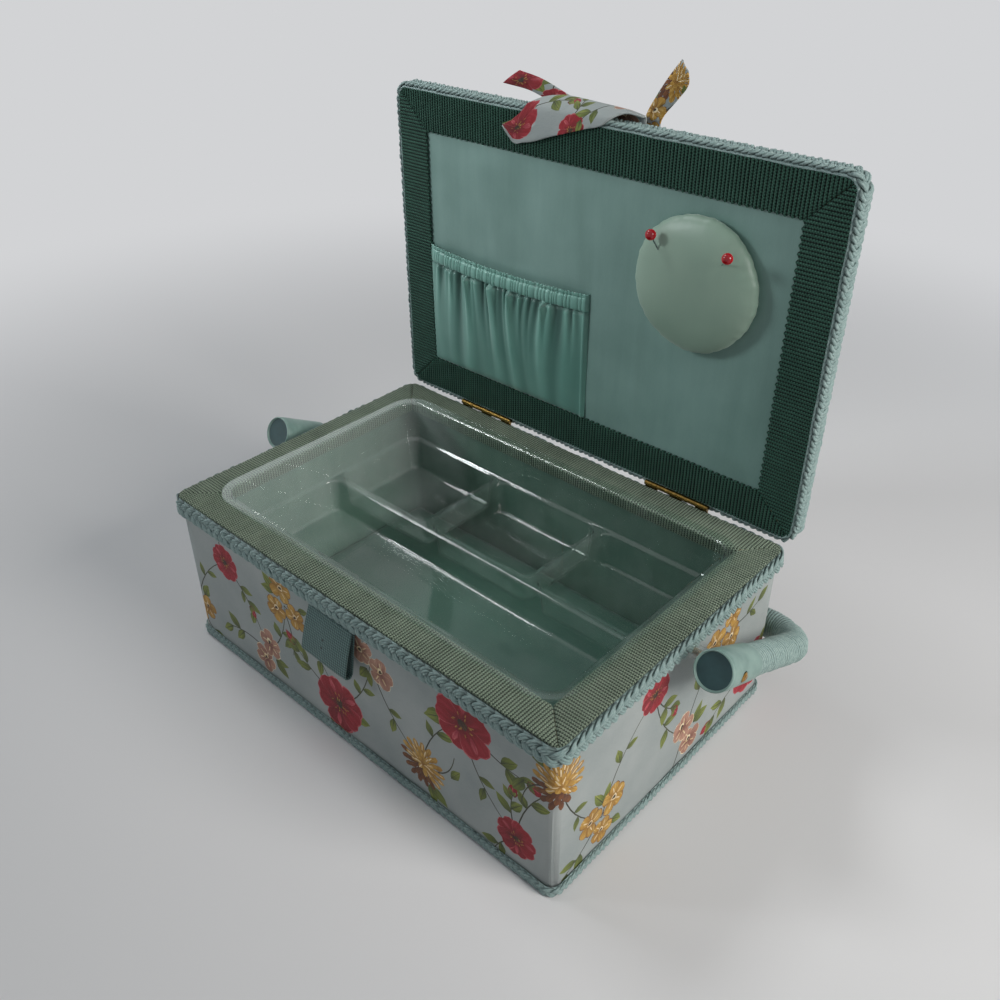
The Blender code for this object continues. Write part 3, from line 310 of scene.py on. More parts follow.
def cord_material(name, dark, light, deep, fibres):
    """Twisted paper cord: fine fibres that run along each strand, with painted shade where it lies deep between
    others.

    U is along it in mm, V once round it, and the depth attribute is 0 at the wall and 1 outermost."""
    look = Finish(name, 0.6, Sheen_Weight=0.1)
    place = look.uv()
    lines = place.scaled(0.55, fibres, 1).noise(1.0, 4.0, 0.65)
    fine = place.scaled(1.6, fibres * 3, 1).noise(1.0, 2.0, 0.6)
    patch = look.place().noise(0.16)
    level = lines * 0.65 + fine * 0.35
    colour = level.ramp(0.32, 0.66).mix(dark, light)
    colour = (patch.ramp(0.5, 0.8) * 0.4).mix(colour, dark)
    # Painted shade: where the depth attribute is low, deep between other strands, the colour goes to the deep one.
    colour = (look.marked("depth") + lines * 0.3).ramp(0.42, 0.96).mix(deep, colour)
    return look.done(colour, level, 0.35)


def satin_material(name, dark, light, grain, rough, streaks, folded=False):
    """Woven satin: soft streaks, a little broken colour and a very fine thread.

    grain: how fine it is each way. streaks: their share of its colour. folded: painted shade, darker in its folds."""
    look = Finish(name, rough, Sheen_Weight=0.25, Sheen_Roughness=0.4, Anisotropic=0.35)
    place = look.place()
    streak = place.scaled(*grain).noise(0.22, 3.0, 0.6)
    thread = place.scaled(*(6 * g for g in grain)).noise(0.9, 2.0, 0.6)
    level = place.noise(0.03) * 0.55 + streak * streaks + thread * 0.15
    middle = 0.35 + streaks / 2
    colour = level.ramp(middle - 0.2, middle + 0.2).mix(dark, light)
    if folded:
        # Painted shade: the folds, where the depth attribute is low, go to a darker colour.
        shadow = tuple(a + 0.35 * (b - a) for a, b in zip(linear("223c37"), linear(dark)))
        colour = look.marked("depth").mix(shadow, colour)
    return look.done(colour, streak * (2.4 * streaks) + thread * 0.5, 0.22, 0.3)


def plastic_material(name, dark, light, rough):
    look = Finish(name, rough, Specular_IOR_Level=0.45)
    place = look.place()
    return look.done(place.noise(0.12, 3.0).ramp(0.3, 0.7).mix(dark, light), place.noise(3.0, 3.0, 0.7), 0.05, 0.35)


def metal_material(name, dark, light, rough):
    look = Finish(name, rough, Metallic=1.0)
    place = look.place()
    scratch = place.scaled(0.4, 6, 6).noise(1.0, 3.0, 0.7)
    look.set(Roughness=scratch.ramp(-0.6, 2.0 / max(rough, 0.2)))
    return look.done(place.noise(0.6, 4.0, 0.7).ramp(0.3, 0.7).mix(dark, light), scratch, 0.05, 0.4)


def glass_material(name, dark, light):
    """Deep coloured glass, with painted light: a little lighter round its edge as it is seen."""
    look = Finish(name, 0.12, Specular_IOR_Level=0.5)
    # Painted light: Facing lightens the colour where the surface turns away from view.
    facing = node(look.tree, "LayerWeight", {"Blend": 0.4}, "Facing")
    look.set(Base_Color=(facing + look.place().noise(0.7) * 0.4).mix(dark, light))
    return look.material


def print_material(name, base, deep, pale, edge_pale, streaks):
    """One inked shape of the print: deeper at its base, streaked along its length, and an edge of its own."""
    look = Finish(name, 0.78, Sheen_Weight=0.08)
    along, across, _ = look.uv("motif").parts()
    tone = look.marked("tone")
    lift = node(look.tree, "CombineXYZ", {"X": along, "Y": across, "Z": tone * 40.0})
    streak = lift.scaled(1.1, streaks, 1).noise(1.0, 3.0, 0.6)
    colour = (along + streak).ramp(0.35, 1.15).mix(deep, base)
    colour = (streak.ramp(0.5, 0.72) * along.ramp(0.15, 0.8)).mix(colour, pale)
    rim = across.maths("ABSOLUTE").ramp(0.55, 0.95) * abs(edge_pale)
    colour = rim.mix(colour, pale if edge_pale > 0 else deep)
    return cotton(look, (tone.ramp(0.4, 1.0) * 0.45).mix(colour, deep))


def cotton(look, colour):
    """Adds a fine plain weave in the cloth's own millimetres."""
    place = look.uv("cloth")
    return look.done(colour, place.weave(0.62) + place.noise(1.1, 3.0) * 1.6, 0.09, 0.55)


def ground_material():
    look = Finish("print_ground", 0.8, Sheen_Weight=0.1)
    place = look.uv("cloth")
    level = place.noise(0.03, 3.0) * 0.7 + place.scaled(0.35, 3.5, 1).noise(1.0) * 0.3
    return cotton(look, level.ramp(0.35, 0.65).mix("8f9796", "a5aaa8"))


def clear_material(name, tint, milk):
    """Thin clear moulding: light goes nearly straight through both its faces, and its gloss is a coat.

    A little of it is milky, more so in scuffed patches, and towards the left end a painted whitish haze stands in for
    the bright surroundings reflected there. Lamps reach what lies under it."""
    look = Finish(name, 0.0, IOR=1.03, Coat_Weight=0.62, Coat_IOR=1.55, Coat_Roughness=0.035)
    place = look.place()
    scuff = place.noise(0.05, 4.0, 0.6)
    # Painted reflection: the milky white grows towards the left end, standing in for the bright surroundings mirrored
    # there.
    end = place.parts()[0].ramp(-62.0, -118.0)
    milk_and_painted_reflection = scuff.ramp(0.35, 0.75) * (2 * milk) + end * (18 * milk)
    look.set(
        Transmission_Weight=(1 - milk) - milk_and_painted_reflection, Base_Color=scuff.mix(tint, (1, 1, 1, 1)),
        Coat_Normal=place.noise(0.12, 1.0).bump(0.12, 0.12),
    )
    look.swap(rays(look.tree, "Shadow", "Diffuse"), node(look.tree, "BsdfTransparent", {"Color": "eef5f2"}))
    return look.material


def tab_material():
    look = Finish("tab_webbing", 0.75, Sheen_Weight=0.15)
    place = look.uv()
    x, y, _ = place.parts()
    slanted = node(look.tree, "CombineXYZ", {"X": x + y, "Y": x.maths("SUBTRACT", y)})
    level = slanted.weave(2.5) * 0.5 + look.place().noise(2.4, 4.0, 0.7)
    colour = level.ramp(0.1, 1.25).mix("16302f", "6f908c")
    for stitch in ((-1.6, 12.6, 0), (-1.9, 16.8, 0)):
        away = node(look.tree, "VectorMath", {0: place, 1: stitch}, "Value", operation="DISTANCE")
        colour = away.ramp(0.45, 0.85).mix("0b1a1a", colour)
    return look.done(colour, level, 0.25, 0.8)


def board_material():
    look = Finish("board", 0.85)
    fibre = look.place().scaled(1, 1, 3).noise(0.8, 4.0, 0.7)
    return look.done(fibre.ramp(0.35, 0.65).mix("7d6b52", "a8926e"), fibre, 0.1, 0.5)


def base_material():
    look = Finish("base_cloth", 0.9)
    place = look.place()
    height = place.weave(1.1) + place.noise(1.6, 4.0, 0.7)
    return look.done(height.ramp(-0.2, 1.3).mix("12302c", "2c5650"), height, 0.15, 0.7)


# ---------------------------------------------------------------- meshes

def clamp(x):
    return np.clip(x, 0, 1)


def bell(x, middle, width):
    return np.exp(-((x - middle) / width) ** 2)


def unit(vectors):
    return vectors / np.maximum(np.linalg.norm(vectors, axis=-1, keepdims=True), 1e-12)


def stacked(*parts):
    """Points from their x, y and z."""
    return np.stack(np.broadcast_arrays(*parts), -1)


def from_lid(x, y, z):
    """Points in the lid's axes (x, distance from the hinge, towards the inside) to the frame."""
    return stacked(x, HINGE_Y - z, HINGE_Z + y)


def quads(rows, columns, round_rows=False, round_columns=False):
    """Corner indices of a grid's faces."""
    r = np.arange(rows if round_rows else rows - 1)
    c = np.arange(columns if round_columns else columns - 1)
    r, c = np.meshgrid(r, c, indexing="ij")
    down, right = (r + 1) % rows, (c + 1) % columns
    at = [r * columns + c, r * columns + right, down * columns + right, down * columns + c]
    return np.stack(at, -1).reshape(-1, 4)


def piece(name, points, faces, materials, body, uvs=None, index=None, normals=None):
    """A smooth mesh piece from points in millimetres, riding on a body.

    uvs: layer name to one pair per corner. index: each face's material. normals: one for each corner."""
    mesh = bpy.data.meshes.new(name)
    points = np.asarray(points, float).reshape(-1, 3) * MM
    mesh.from_pydata(points.tolist(), [], faces.tolist() if hasattr(faces, "tolist") else faces)
    for layer, values in (uvs or {}).items():
        mesh.uv_layers.new(name=layer).data.foreach_set("uv", np.asarray(values, np.float32).ravel())
    for made in materials:
        mesh.materials.append(made)
    if index is not None:
        mesh.polygons.foreach_set("material_index", np.asarray(index, np.int32))
    mesh.shade_smooth()
    if normals is not None:
        mesh.normals_split_custom_set(np.asarray(normals, float).reshape(-1, 3).tolist())
    mesh.update()
    made = added(name, mesh)
    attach(made, body)
    return made


def mark(made, name, domain, values):
    """Stores a value for each of a piece's points or faces."""
    made.data.attributes.new(name, "FLOAT", domain).data.foreach_set("value", np.asarray(values, np.float32).ravel())


def weld(made, outward=False):
    """Joins a piece's points that meet, and turns its faces outwards if asked."""
    bm = bmesh.new()
    bm.from_mesh(made.data)
    bmesh.ops.remove_doubles(bm, verts=bm.verts, dist=1e-6)
    bmesh.ops.delete(bm, geom=[v for v in bm.verts if not v.link_faces], context="VERTS")
    if outward:
        bmesh.ops.recalc_face_normals(bm, faces=bm.faces)
    bm.to_mesh(made.data)
    bm.free()


def thicken(made, thick):
    skin = made.modifiers.new("thickness", "SOLIDIFY")
    skin.thickness = thick * MM
    skin.offset = 0


def surface(name, points, material, body, thick=0.0, uvs=None, flip=False):
    """A grid of points as a sheet, with a Solidify modifier where it has a thickness."""
    faces = quads(*points.shape[:2])
    if flip:
        faces = faces[:, ::-1]
    layers = None if uvs is None else {"UVMap": uvs.reshape(-1, 2)[faces.ravel()]}
    made = piece(name, points, faces, [material], body, layers)
    if thick:
        thicken(made, thick)
    return made


def pairs(numbers):
    """Complex numbers as x and y."""
    return np.stack([numbers.real, numbers.imag], -1)


def around(half, radius, distance):
    """Places and outward directions at distances along a rounded rectangle, from the middle of its +Y side.

    The way round is anticlockwise seen from above: left end, front, right end, back."""
    fx, fy = shrunk(half, radius)
    arc = math.pi * radius / 2
    s = np.mod(np.asarray(distance, float), loop_length(half, radius))
    place, out = np.zeros((2, *s.shape), complex)
    start, corner, way = -fx, complex(fx, fy), -1
    for side in (2 * fx, 2 * fy, 2 * fx, 2 * fy, 2 * fx):
        inside = (s >= start - 1e-9) & (s <= start + side + arc + 1e-9)
        t = s[inside] - start
        out[inside] = -1j * way * np.exp(1j * np.clip((t - side) / radius, 0, math.pi / 2))
        place[inside] = corner + way * np.minimum(t, side) + radius * out[inside]
        start, corner, way = start + side + arc, corner + way * side, way * 1j
    return pairs(place), pairs(out)


def loop_length(half, radius):
    return 4 * (half[0] + half[1] - 2 * radius) + TAU * radius


def loop_points(half, radius, step):
    """Points round a rounded rectangle, a step apart."""
    return around(half, radius, np.arange(0, loop_length(half, radius), step))[0].tolist()


def divided(corners, step, whole=math.ceil):
    """A closed outline with points added, no further apart than a step, or about a step with whole=round."""
    points = []
    for a, b in zip(corners, corners[1:] + corners[:1]):
        count = max(1, whole(math.dist(a, b) / step))
        points += [(a[0] + (b[0] - a[0]) * k / count, a[1] + (b[1] - a[1]) * k / count) for k in range(count)]
    return points


def rectangle(low, high, step):
    return divided([low, (high[0], low[1]), high, (low[0], high[1])], step)


def rounded(centre, half, radius):
    """Points round a rounded rectangle, anticlockwise."""
    points = []
    for k, (sx, sy) in enumerate(((1, 1), (-1, 1), (-1, -1), (1, -1))):
        for angle in (k + np.linspace(0, 1, 15)) * math.pi / 2:
            points.append((
                centre[0] + sx * (half[0] - radius) + radius * math.cos(angle),
                centre[1] + sy * (half[1] - radius) + radius * math.sin(angle),
            ))
    return divided(points, 14.0, round)


def grid_points(low, high, step):
    xs, ys = (np.arange(low[axis] + step / 2, high[axis], step) for axis in (0, 1))
    return [(x + 0.013 * y, y) for x in xs for y in ys]


def round_corner(x, y, half, radius):
    """Moves places near a rectangle's corner so that the square corner lands on a round one."""
    flat_x, flat_y = shrunk(half, radius)
    over_x, over_y = np.abs(x) - flat_x, np.abs(y) - flat_y
    inside = (over_x > 0) & (over_y > 0)
    share = np.where(inside, np.maximum(over_x, over_y) / np.maximum(np.hypot(over_x, over_y), 1e-9), 1)
    return (
        np.where(inside, np.copysign(flat_x + over_x * share, x), x),
        np.where(inside, np.copysign(flat_y + over_y * share, y), y),
    )


def wrapped(index, count):
    """Row or column numbers of faces' corners, which count on where the faces close."""
    return np.where((index == 0) & (index.max(1, keepdims=True) == count - 1), count, index)


def strand(centre, out, across, through):
    """Rings of six points round a closed centre line: semi-axis `across` sideways, `through` along `out`."""
    run = unit(np.roll(centre, -1, 0) - np.roll(centre, 1, 0))
    out = unit(out - (out * run).sum(-1, keepdims=True) * run)
    side = np.cross(run, out)
    angle = TAU * np.arange(6) / 6
    across, through = (np.broadcast_to(axis, len(centre))[:, None] for axis in (across, through))
    return (
        centre[:, None] + (across * np.cos(angle))[..., None] * side[:, None]
        + (through * np.sin(angle))[..., None] * out[:, None]
    )


def tubes(name, rings, material, body, depth):
    """Closed tubes, each a row of rings, as one piece. UV: millimetres along, once round."""
    count, rows, sides = rings.shape[:3]
    faces = quads(rows, sides, True, True)[:, ::-1]
    middle = rings.mean(2)
    step = np.linalg.norm(np.roll(middle, -1, 1) - middle, axis=-1)
    number = np.arange(count)[:, None]
    along = np.concatenate([0 * number, np.cumsum(step, 1)], 1) + 13.7 * number
    uvs = np.stack(np.broadcast_arrays(
        along[:, wrapped(faces // sides, rows)], wrapped(faces % sides, sides) / sides,
    ), -1)
    faces = (faces + rows * sides * number[..., None]).reshape(-1, 4)
    made = piece(name, rings, faces, [material], body, {"UVMap": uvs})
    # Each point's depth, which the cord material turns into painted shade.
    mark(made, "depth", "POINT", depth)
    return made


# ---------------------------------------------------------------- printed cotton

PRINT_PITCH = 58
PRINT_SCALE = 1.38
KINDS = ("ground", "stem", "leaf", "red", "rose", "mustard", "bark", "pink", "cream", "heart")
PETAL = (
    (0, 0), (0.1, 0.28), (0.3, 0.62), (0.55, 0.9), (0.78, 1), (0.94, 0.74), (1, 0.36), (0.94, 0.02),
    (1.01, -0.38), (0.93, -0.78), (0.76, -1), (0.52, -0.9), (0.28, -0.6), (0.1, -0.26),
)
ROUND_PETAL = (
    (0, 0), (0.18, 0.5), (0.45, 0.92), (0.74, 1), (0.95, 0.6), (1, 0), (0.95, -0.62), (0.74, -1),
    (0.44, -0.9), (0.18, -0.5),
)
NARROW_PETAL = ((0, -0.45), (0.5, -1), (0.86, -0.66), (1, 0), (0.86, 0.7), (0.5, 1), (0, 0.45))
LEAF = (
    (0, 0), (0.1, 0.36), (0.27, 0.82), (0.46, 1), (0.66, 0.84), (0.85, 0.4), (1, 0), (0.84, -0.4),
    (0.66, -0.76), (0.44, -0.96), (0.25, -0.78), (0.1, -0.38),
)
BUD = ((0, -0.5), (0.3, -1), (0.7, -0.8), (1, -0.1), (0.74, 0.72), (0.3, 1), (0, 0.5))
STROKE = ((0, -1), (1, -0.5), (1, 0.5), (0, 1))
POMPOM = ((17, 0.58, 0.44), (15, 0.36, 0.42), (11, 0.16, 0.38), (6, 0.0, 0.3))

Shape = namedtuple("Shape", "points kind at along across tone")
GROUND = Shape(None, 0, 0, 1, 1j, 0.0)


def bezier(a, b, c, t):
    return (1 - t) ** 2 * a + 2 * t * (1 - t) * b + t * t * c


class Print:
    """A tossed floral of this file's own, as shapes in cloth millimetres, later ones on top.

    Its places and directions are complex numbers, and its angles are in radians."""

    def __init__(self, seed):
        self.shapes = []
        self.random = random.Random(seed)
        self.between = self.random.uniform

    def shape(self, kind, outline, at, angle, length, half_width, wobble=0.0):
        along, across = rect(length, angle), rect(half_width, angle) * 1j
        points = []
        for s, t in outline:
            s += self.between(-wobble, wobble) * 0.5
            t += self.between(-wobble, wobble)
            points.append(at + s * along + t * across)
        self.add(np.array(points), kind, at, along, across)

    def add(self, points, kind, at, along, across):
        """Keeps a shape, anticlockwise."""
        if (points.conj() * np.roll(points, -1)).imag.sum() < 0:
            points = points[::-1]
        self.shapes.append(Shape(points, KINDS.index(kind), at, along, across, self.random.random()))

    def stem(self, a, b, c, width):
        """A tapering stem from a to c, bent towards b."""
        t = np.linspace(0, 1, 9)
        line = bezier(a, b, c, t)
        run = np.gradient(line)
        side = 1j * run / abs(run) * width * (1 - 0.45 * t) / 2
        self.add(np.concatenate([line + side, (line - side)[::-1]]), "stem", a, c - a, -0.3 + 1j)

    def leaves(self, at, angles, length):
        for angle in angles:
            long = length * self.between(0.8, 1.15)
            self.shape("leaf", LEAF, at, angle, long, long * self.between(0.21, 0.3), 0.06)
            self.shape("stem", STROKE, at, angle, long * 0.84, long * 0.018)

    def sprig(self, at, angle, length, leaf):
        """A side stem with leaves. Gives its tip."""
        end = at + rect(length, angle)
        middle = (at + end) / 2 + rect(self.random.choice((-1, 1)) * 0.16 * length, angle) * 1j
        self.stem(at, middle, end, 0.65)
        for share, turn in ((0.5, 0.75), (0.62, -0.8), (0.86, 0.5)):
            self.leaves(bezier(at, middle, end, share), [angle + turn], leaf)
        return end

    def bloom(self, at, radius, turn):
        """A large red flower with rosy bands and a stamened heart."""
        for k in (2, 4, 1, 3, 0):
            angle = turn + TAU * k / 5 + self.between(-0.12, 0.12)
            long = radius * self.between(0.92, 1.08)
            self.shape("rose", PETAL, at, angle, long * 1.035, long * 0.58, 0.03)
            self.shape("red", PETAL, at, angle, long, long * 0.545, 0.05)
            if k % 2 == 0:
                foot = at + rect(self.between(-0.3, 0.3) * long * 0.5, angle) * 1j + rect(0.42 * long, angle)
                way = angle + self.between(-0.2, 0.2)
                self.shape("rose", NARROW_PETAL, foot, way, 0.5 * long, 0.1 * long, 0.1)
        foot = at - rect(0.2 * radius, turn)
        self.shape("heart", ROUND_PETAL, foot, turn, 0.4 * radius, 0.17 * radius, 0.2)
        for _ in range(15):
            angle, reach = self.between(0, TAU), radius * self.between(0.08, 0.36)
            way = angle + self.between(-0.6, 0.6)
            self.shape("mustard", STROKE, at + rect(reach, angle), way, 0.11 * radius, 0.022 * radius)

    def blossom(self, at, radius, turn, kind="mustard"):
        """A small flower with a dark eye in a pale ring."""
        for k in (0, 2, 4, 1, 3):
            angle = turn + TAU * k / 5 + self.between(-0.15, 0.15)
            long = radius * self.between(0.88, 1.08)
            edge = "cream" if kind == "pink" else "bark"
            self.shape(edge, ROUND_PETAL, at, angle, long * 1.028, radius * 0.442, 0.02)
            self.shape(kind, ROUND_PETAL, at, angle, long, radius * 0.42, 0.06)
            if k != 2:
                foot = at + rect(0.3 * radius, angle)
                self.shape("cream", STROKE, foot, angle + 0.2, 0.4 * radius, 0.05 * radius)
        for eye, shift, long, wide in (("cream", -0.25 - 0.06j, 0.5, 0.2), ("heart", -0.16 - 0.04j, 0.32, 0.11)):
            self.shape(eye, ROUND_PETAL, at + shift * radius, turn * 0.2, long * radius, wide * radius, 0.15)

    def pompom(self, at, radius, turn):
        """A many-petalled flower, shaded dark on its lower side."""
        for ring, (count, start, long) in enumerate(POMPOM):
            for k in range(count):
                angle = turn + TAU * (k + 0.5 * (ring % 2)) / count
                shaded = math.sin(angle + 0.5) < -0.35 - 0.25 * ring
                foot = at + rect(start * radius, angle)
                kind = "bark" if shaded else "mustard"
                self.shape(kind, NARROW_PETAL, foot, angle, long * radius, 0.115 * radius, 0.12)
                if not shaded and self.random.random() < 0.6:
                    foot += rect(0.06 * radius, angle)
                    self.shape("cream", STROKE, foot, angle, 0.28 * radius, 0.03 * radius)

    def bud(self, at, size, angle):
        self.shape("red", BUD, at, angle, size, size * 0.36, 0.06)
        self.shape("rose", STROKE, at + rect(0.25 * size, angle), angle + 0.1, 0.5 * size, 0.06 * size)
        self.leaves(at, [angle + 0.45, angle - 0.45], size * 0.6)

    def cluster(self, number, at, turn):
        """One of five bunches round a place."""
        def by(distance, angle):
            return at + rect(distance, turn + angle)

        if number == 0:
            self.bud(self.sprig(by(6, 0.5), turn + 0.6, 21, 8.5), 6.5, turn + 0.5)
            self.leaves(by(7, 2.6), (turn + 2.3, turn + 3.1), 12)
            self.leaves(by(7, 4.2), (turn + 4.4,), 11)
            self.bloom(at, 11.6, turn)
        elif number == 1:
            self.sprig(by(3, 3.3), turn + 3.5, 20, 7.5)
            self.leaves(by(6, 1.2), (turn + 1.0, turn + 1.9), 8.5)
            self.leaves(by(8, 5.2), (turn + 5.4,), 8)
            self.blossom(by(7.5, 0.4), 6.4, turn)
            self.blossom(by(6.6, 2.5), 6.0, turn + 1)
            self.blossom(by(6.4, 4.5), 5.6, turn + 2)
        elif number == 2:
            self.stem(by(6, 4.9), by(14, 5.0), by(21, 5.5), 0.6)
            self.leaves(by(8, 3.6), (turn + 3.4, turn + 4.1), 10)
            self.leaves(by(14, 5.0), (turn + 5.7,), 8)
            self.pompom(at, 10.4, turn)
        elif number == 3:
            self.sprig(by(4, 5.9), turn + 6.1, 22, 9.5)
            self.leaves(by(5, 2.4), (turn + 2.2, turn + 3.0), 9)
            self.blossom(by(5.4, 0.9), 6.3, turn, "pink")
            self.blossom(by(5.6, 3.9), 6.6, turn + 2, "pink")
        else:
            self.bud(self.sprig(by(2, 1.6), turn + 1.8, 17, 7.5), 5.5, turn + 1.6)
            self.sprig(by(2, 4.4), turn + 4.2, 15, 7)
            self.bloom(at, 7.4, turn)

    def toss(self, width, height, rows, first, origin=0):
        """Bunches on a staggered lattice, joined by trailing stems, far enough out to run over every edge."""
        pitch, row_pitch = PRINT_PITCH / PRINT_SCALE, height / rows / PRINT_SCALE
        bunches = []
        for column in range(-1, int(width / PRINT_SCALE / pitch) + 2):
            for row in range(rows):
                x = pitch * (column + 0.5 * (row % 2)) + self.between(-4, 4)
                y = row_pitch * (row + 0.5) + self.between(-3, 3)
                bunches.append(((2 * column + 3 * row + first) % 5, complex(x, y), self.between(0, TAU)))
        for (_, a, _), (_, b, _) in zip(bunches, bunches[1:]):
            if abs(b - a) > 1.5 * pitch:
                continue
            middle = (a + b) / 2 + self.random.choice((-1, 1)) * 0.2 * (b - a) * 1j
            self.stem(a, middle, b, 0.6)
            for share, turn in ((0.46, 0.9), (0.56, -0.8)):
                self.leaves(bezier(a, middle, b, share), [phase(b - a) + turn], 7.5)
        for bunch in bunches:
            self.cluster(*bunch)
        self.shapes = [
            Shape(
                s.points * PRINT_SCALE - origin, s.kind, s.at * PRINT_SCALE - origin, s.along * PRINT_SCALE,
                s.across * (1 if KINDS[s.kind] == "stem" else PRINT_SCALE), s.tone,
            ) for s in self.shapes
        ]
        return self


def printed_cloth(name, printed, outline, inner, place, body, folds=()):
    """Cloth cut to an outline, with the print's shapes let into its mesh. inner: extra points; folds: extra lines."""
    low, high = np.min(outline, 0), np.max(outline, 0)
    points, faces, shapes, boxes = list(outline), [list(range(len(outline)))], [GROUND], [None]
    for shape in printed.shapes:
        at = pairs(shape.points)
        if (at.max(0) < low).any() or (at.min(0) > high).any():
            continue
        faces.append([len(points) + k for k in range(len(at))])
        points += at.tolist()
        shapes.append(shape)
        boxes.append((at.min(0) - 0.01, at.max(0) + 0.01))
    edges = [(len(points) + 2 * k, len(points) + 2 * k + 1) for k in range(len(folds))]
    points += [end for fold in folds for end in fold] + list(inner)
    found = delaunay_2d_cdt([Vector(p) for p in points], edges, faces, 1, 1e-4)
    spots = np.array([tuple(p) for p in found[0]])
    corners, top = [], []
    for face, origins in zip(found[2], found[5]):
        if 0 in origins:
            middle = spots[face].mean(0)
            over = [n for n in origins if n and (boxes[n][0] <= middle).all() and (middle <= boxes[n][1]).all()]
            corners.append(face)
            top.append(max(over, default=0))
    used, corners = np.unique(corners, return_inverse=True)
    spots, corners, top = spots[used], corners.reshape(-1, 3), np.array(top)

    def each(key):
        return np.array([getattr(shape, key) for shape in shapes])[top]

    cloth = spots[corners]
    from_foot = cloth[..., 0] + 1j * cloth[..., 1] - each("at")[:, None]
    motif = np.stack([(from_foot / each(way)[:, None]).real for way in ("along", "across")], -1)
    motif[top == 0] = 0
    made = piece(
        name, place(spots), corners, PRINT_MATERIALS, body, {"cloth": cloth, "motif": motif},
        each("kind"),
    )
    mark(made, "tone", "FACE", each("tone"))
    return made


def body_cover():
    """The printed cover round the basket, with its joint at the back left corner."""
    half_x, half_y = shrunk(COVER_HALF, CORNER)
    total = loop_length(COVER_HALF, CORNER)
    bottom, top = 0.9, 92.4
    arc = math.pi * CORNER / 2
    corners = np.cumsum([0, arc + 2 * half_y, arc + 2 * half_x, arc + 2 * half_y])
    folds = [
        ((u, bottom + 0.01), (u, top - 0.01))
        for corner in corners for u in corner + arc * np.arange(9) / 8 if 0 < u < total
    ]

    def place(spots):
        u, v = spots[:, 0], spots[:, 1]
        flat, out = around(COVER_HALF, CORNER, u + half_x)
        sag = 0.17 * (1 + np.sin(u * 0.061 + 1.3 * np.sin(v * 0.05)) * np.sin(v * 0.043 + 0.7))
        return np.column_stack([flat - out * sag[:, None], v])

    made = printed_cloth(
        "cover_outer", Print(7).toss(total, top, 2, 0), rectangle((0, bottom), (total, top), 8),
        grid_points((0, bottom), (total, top), 7.3), place, "basket", folds,
    )
    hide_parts("outer_cover")
    total * MM


def padded_height(x, y):
    """How far the lid's padding swells at a place on the lid."""
    sx, sy = clamp(np.abs(x) / LID_COVER_HALF[0]), clamp(np.abs(y - LID_MIDDLE) / LID_COVER_HALF[1])
    return LID_CROWN * (1 - sx ** 3) * (1 - sy ** 3)


def lid_cover():
    """The padded lid's printed cover, rolled over the edge and down its sides."""
    half, roll, depth = LID_COVER_HALF, 2.6, 8.3
    quarter = roll * math.pi / 4
    grown, grown_radius = shrunk(half, -depth), CORNER + depth

    def place(flat):
        q = np.abs(flat) - shrunk(half, CORNER)
        outer = np.maximum(q, 0)
        reach = np.linalg.norm(outer, axis=1)
        c = reach + np.minimum(q.max(1), 0) - CORNER
        way = np.where(
            (reach > 1e-6)[:, None], outer / np.maximum(reach, 1e-6)[:, None],
            np.stack([(q[:, 0] >= q[:, 1]), (q[:, 1] > q[:, 0])], -1).astype(float),
        ) * np.where(flat < 0, -1, 1)
        turn = np.clip((c + quarter) / roll, 0, math.pi / 2)
        inside = c < -quarter
        wanted = np.where(c > quarter, 0, -roll + roll * np.sin(turn))
        wanted = np.where(inside, (-roll + quarter) * np.exp((c + quarter) / 6) + c, wanted)
        at = flat + way * (wanted - c)[:, None]
        drop = np.where(c > quarter, roll + c - quarter, roll * (1 - np.cos(turn)))
        x, y = -at[:, 0], at[:, 1] + LID_MIDDLE
        ripple = 0.25 * np.sin(x * 0.07 + 1.1 * np.sin(y * 0.045)) * np.sin(y * 0.06 + 0.4)
        return from_lid(x, y, pad_surface(x, y) - np.where(inside, ripple, 0) * clamp(-c / 20) + drop)

    inner = grid_points((-grown[0], -grown[1]), grown, 5.5)
    for shrink in (-4, -2, -1, 0, 1, 2, 4):
        inner += loop_points(shrunk(half, -shrink), CORNER + shrink, 2.5)
    over = np.maximum(np.abs(inner) - shrunk(grown, grown_radius), 0)
    inner = np.array(inner)[np.linalg.norm(over, axis=1) < grown_radius - 0.3].tolist()
    made = printed_cloth(
        "cover_lid", Print(23).toss(grown[0] * 2, grown[1] * 2, 4, 2, complex(*grown)),
        loop_points(grown, grown_radius, 3.0), inner, place, "lid",
    )
    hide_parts("lid_cover", "lid_padding")


def pad_surface(x, y):
    """The height of the padded lid's cover."""
    return LID_FACE - LID_EDGE - padded_height(x, y)


# ---------------------------------------------------------------- webbing

SIDES = {
    "front": ((1, 0), (0, 1)), "right": ((0, 1), (-1, 0)), "back": ((-1, 0), (0, -1)), "left": ((0, -1), (1, 0)),
}
FLAT = (1e9, 1.0)  # a bend so far in that the strip never turns down


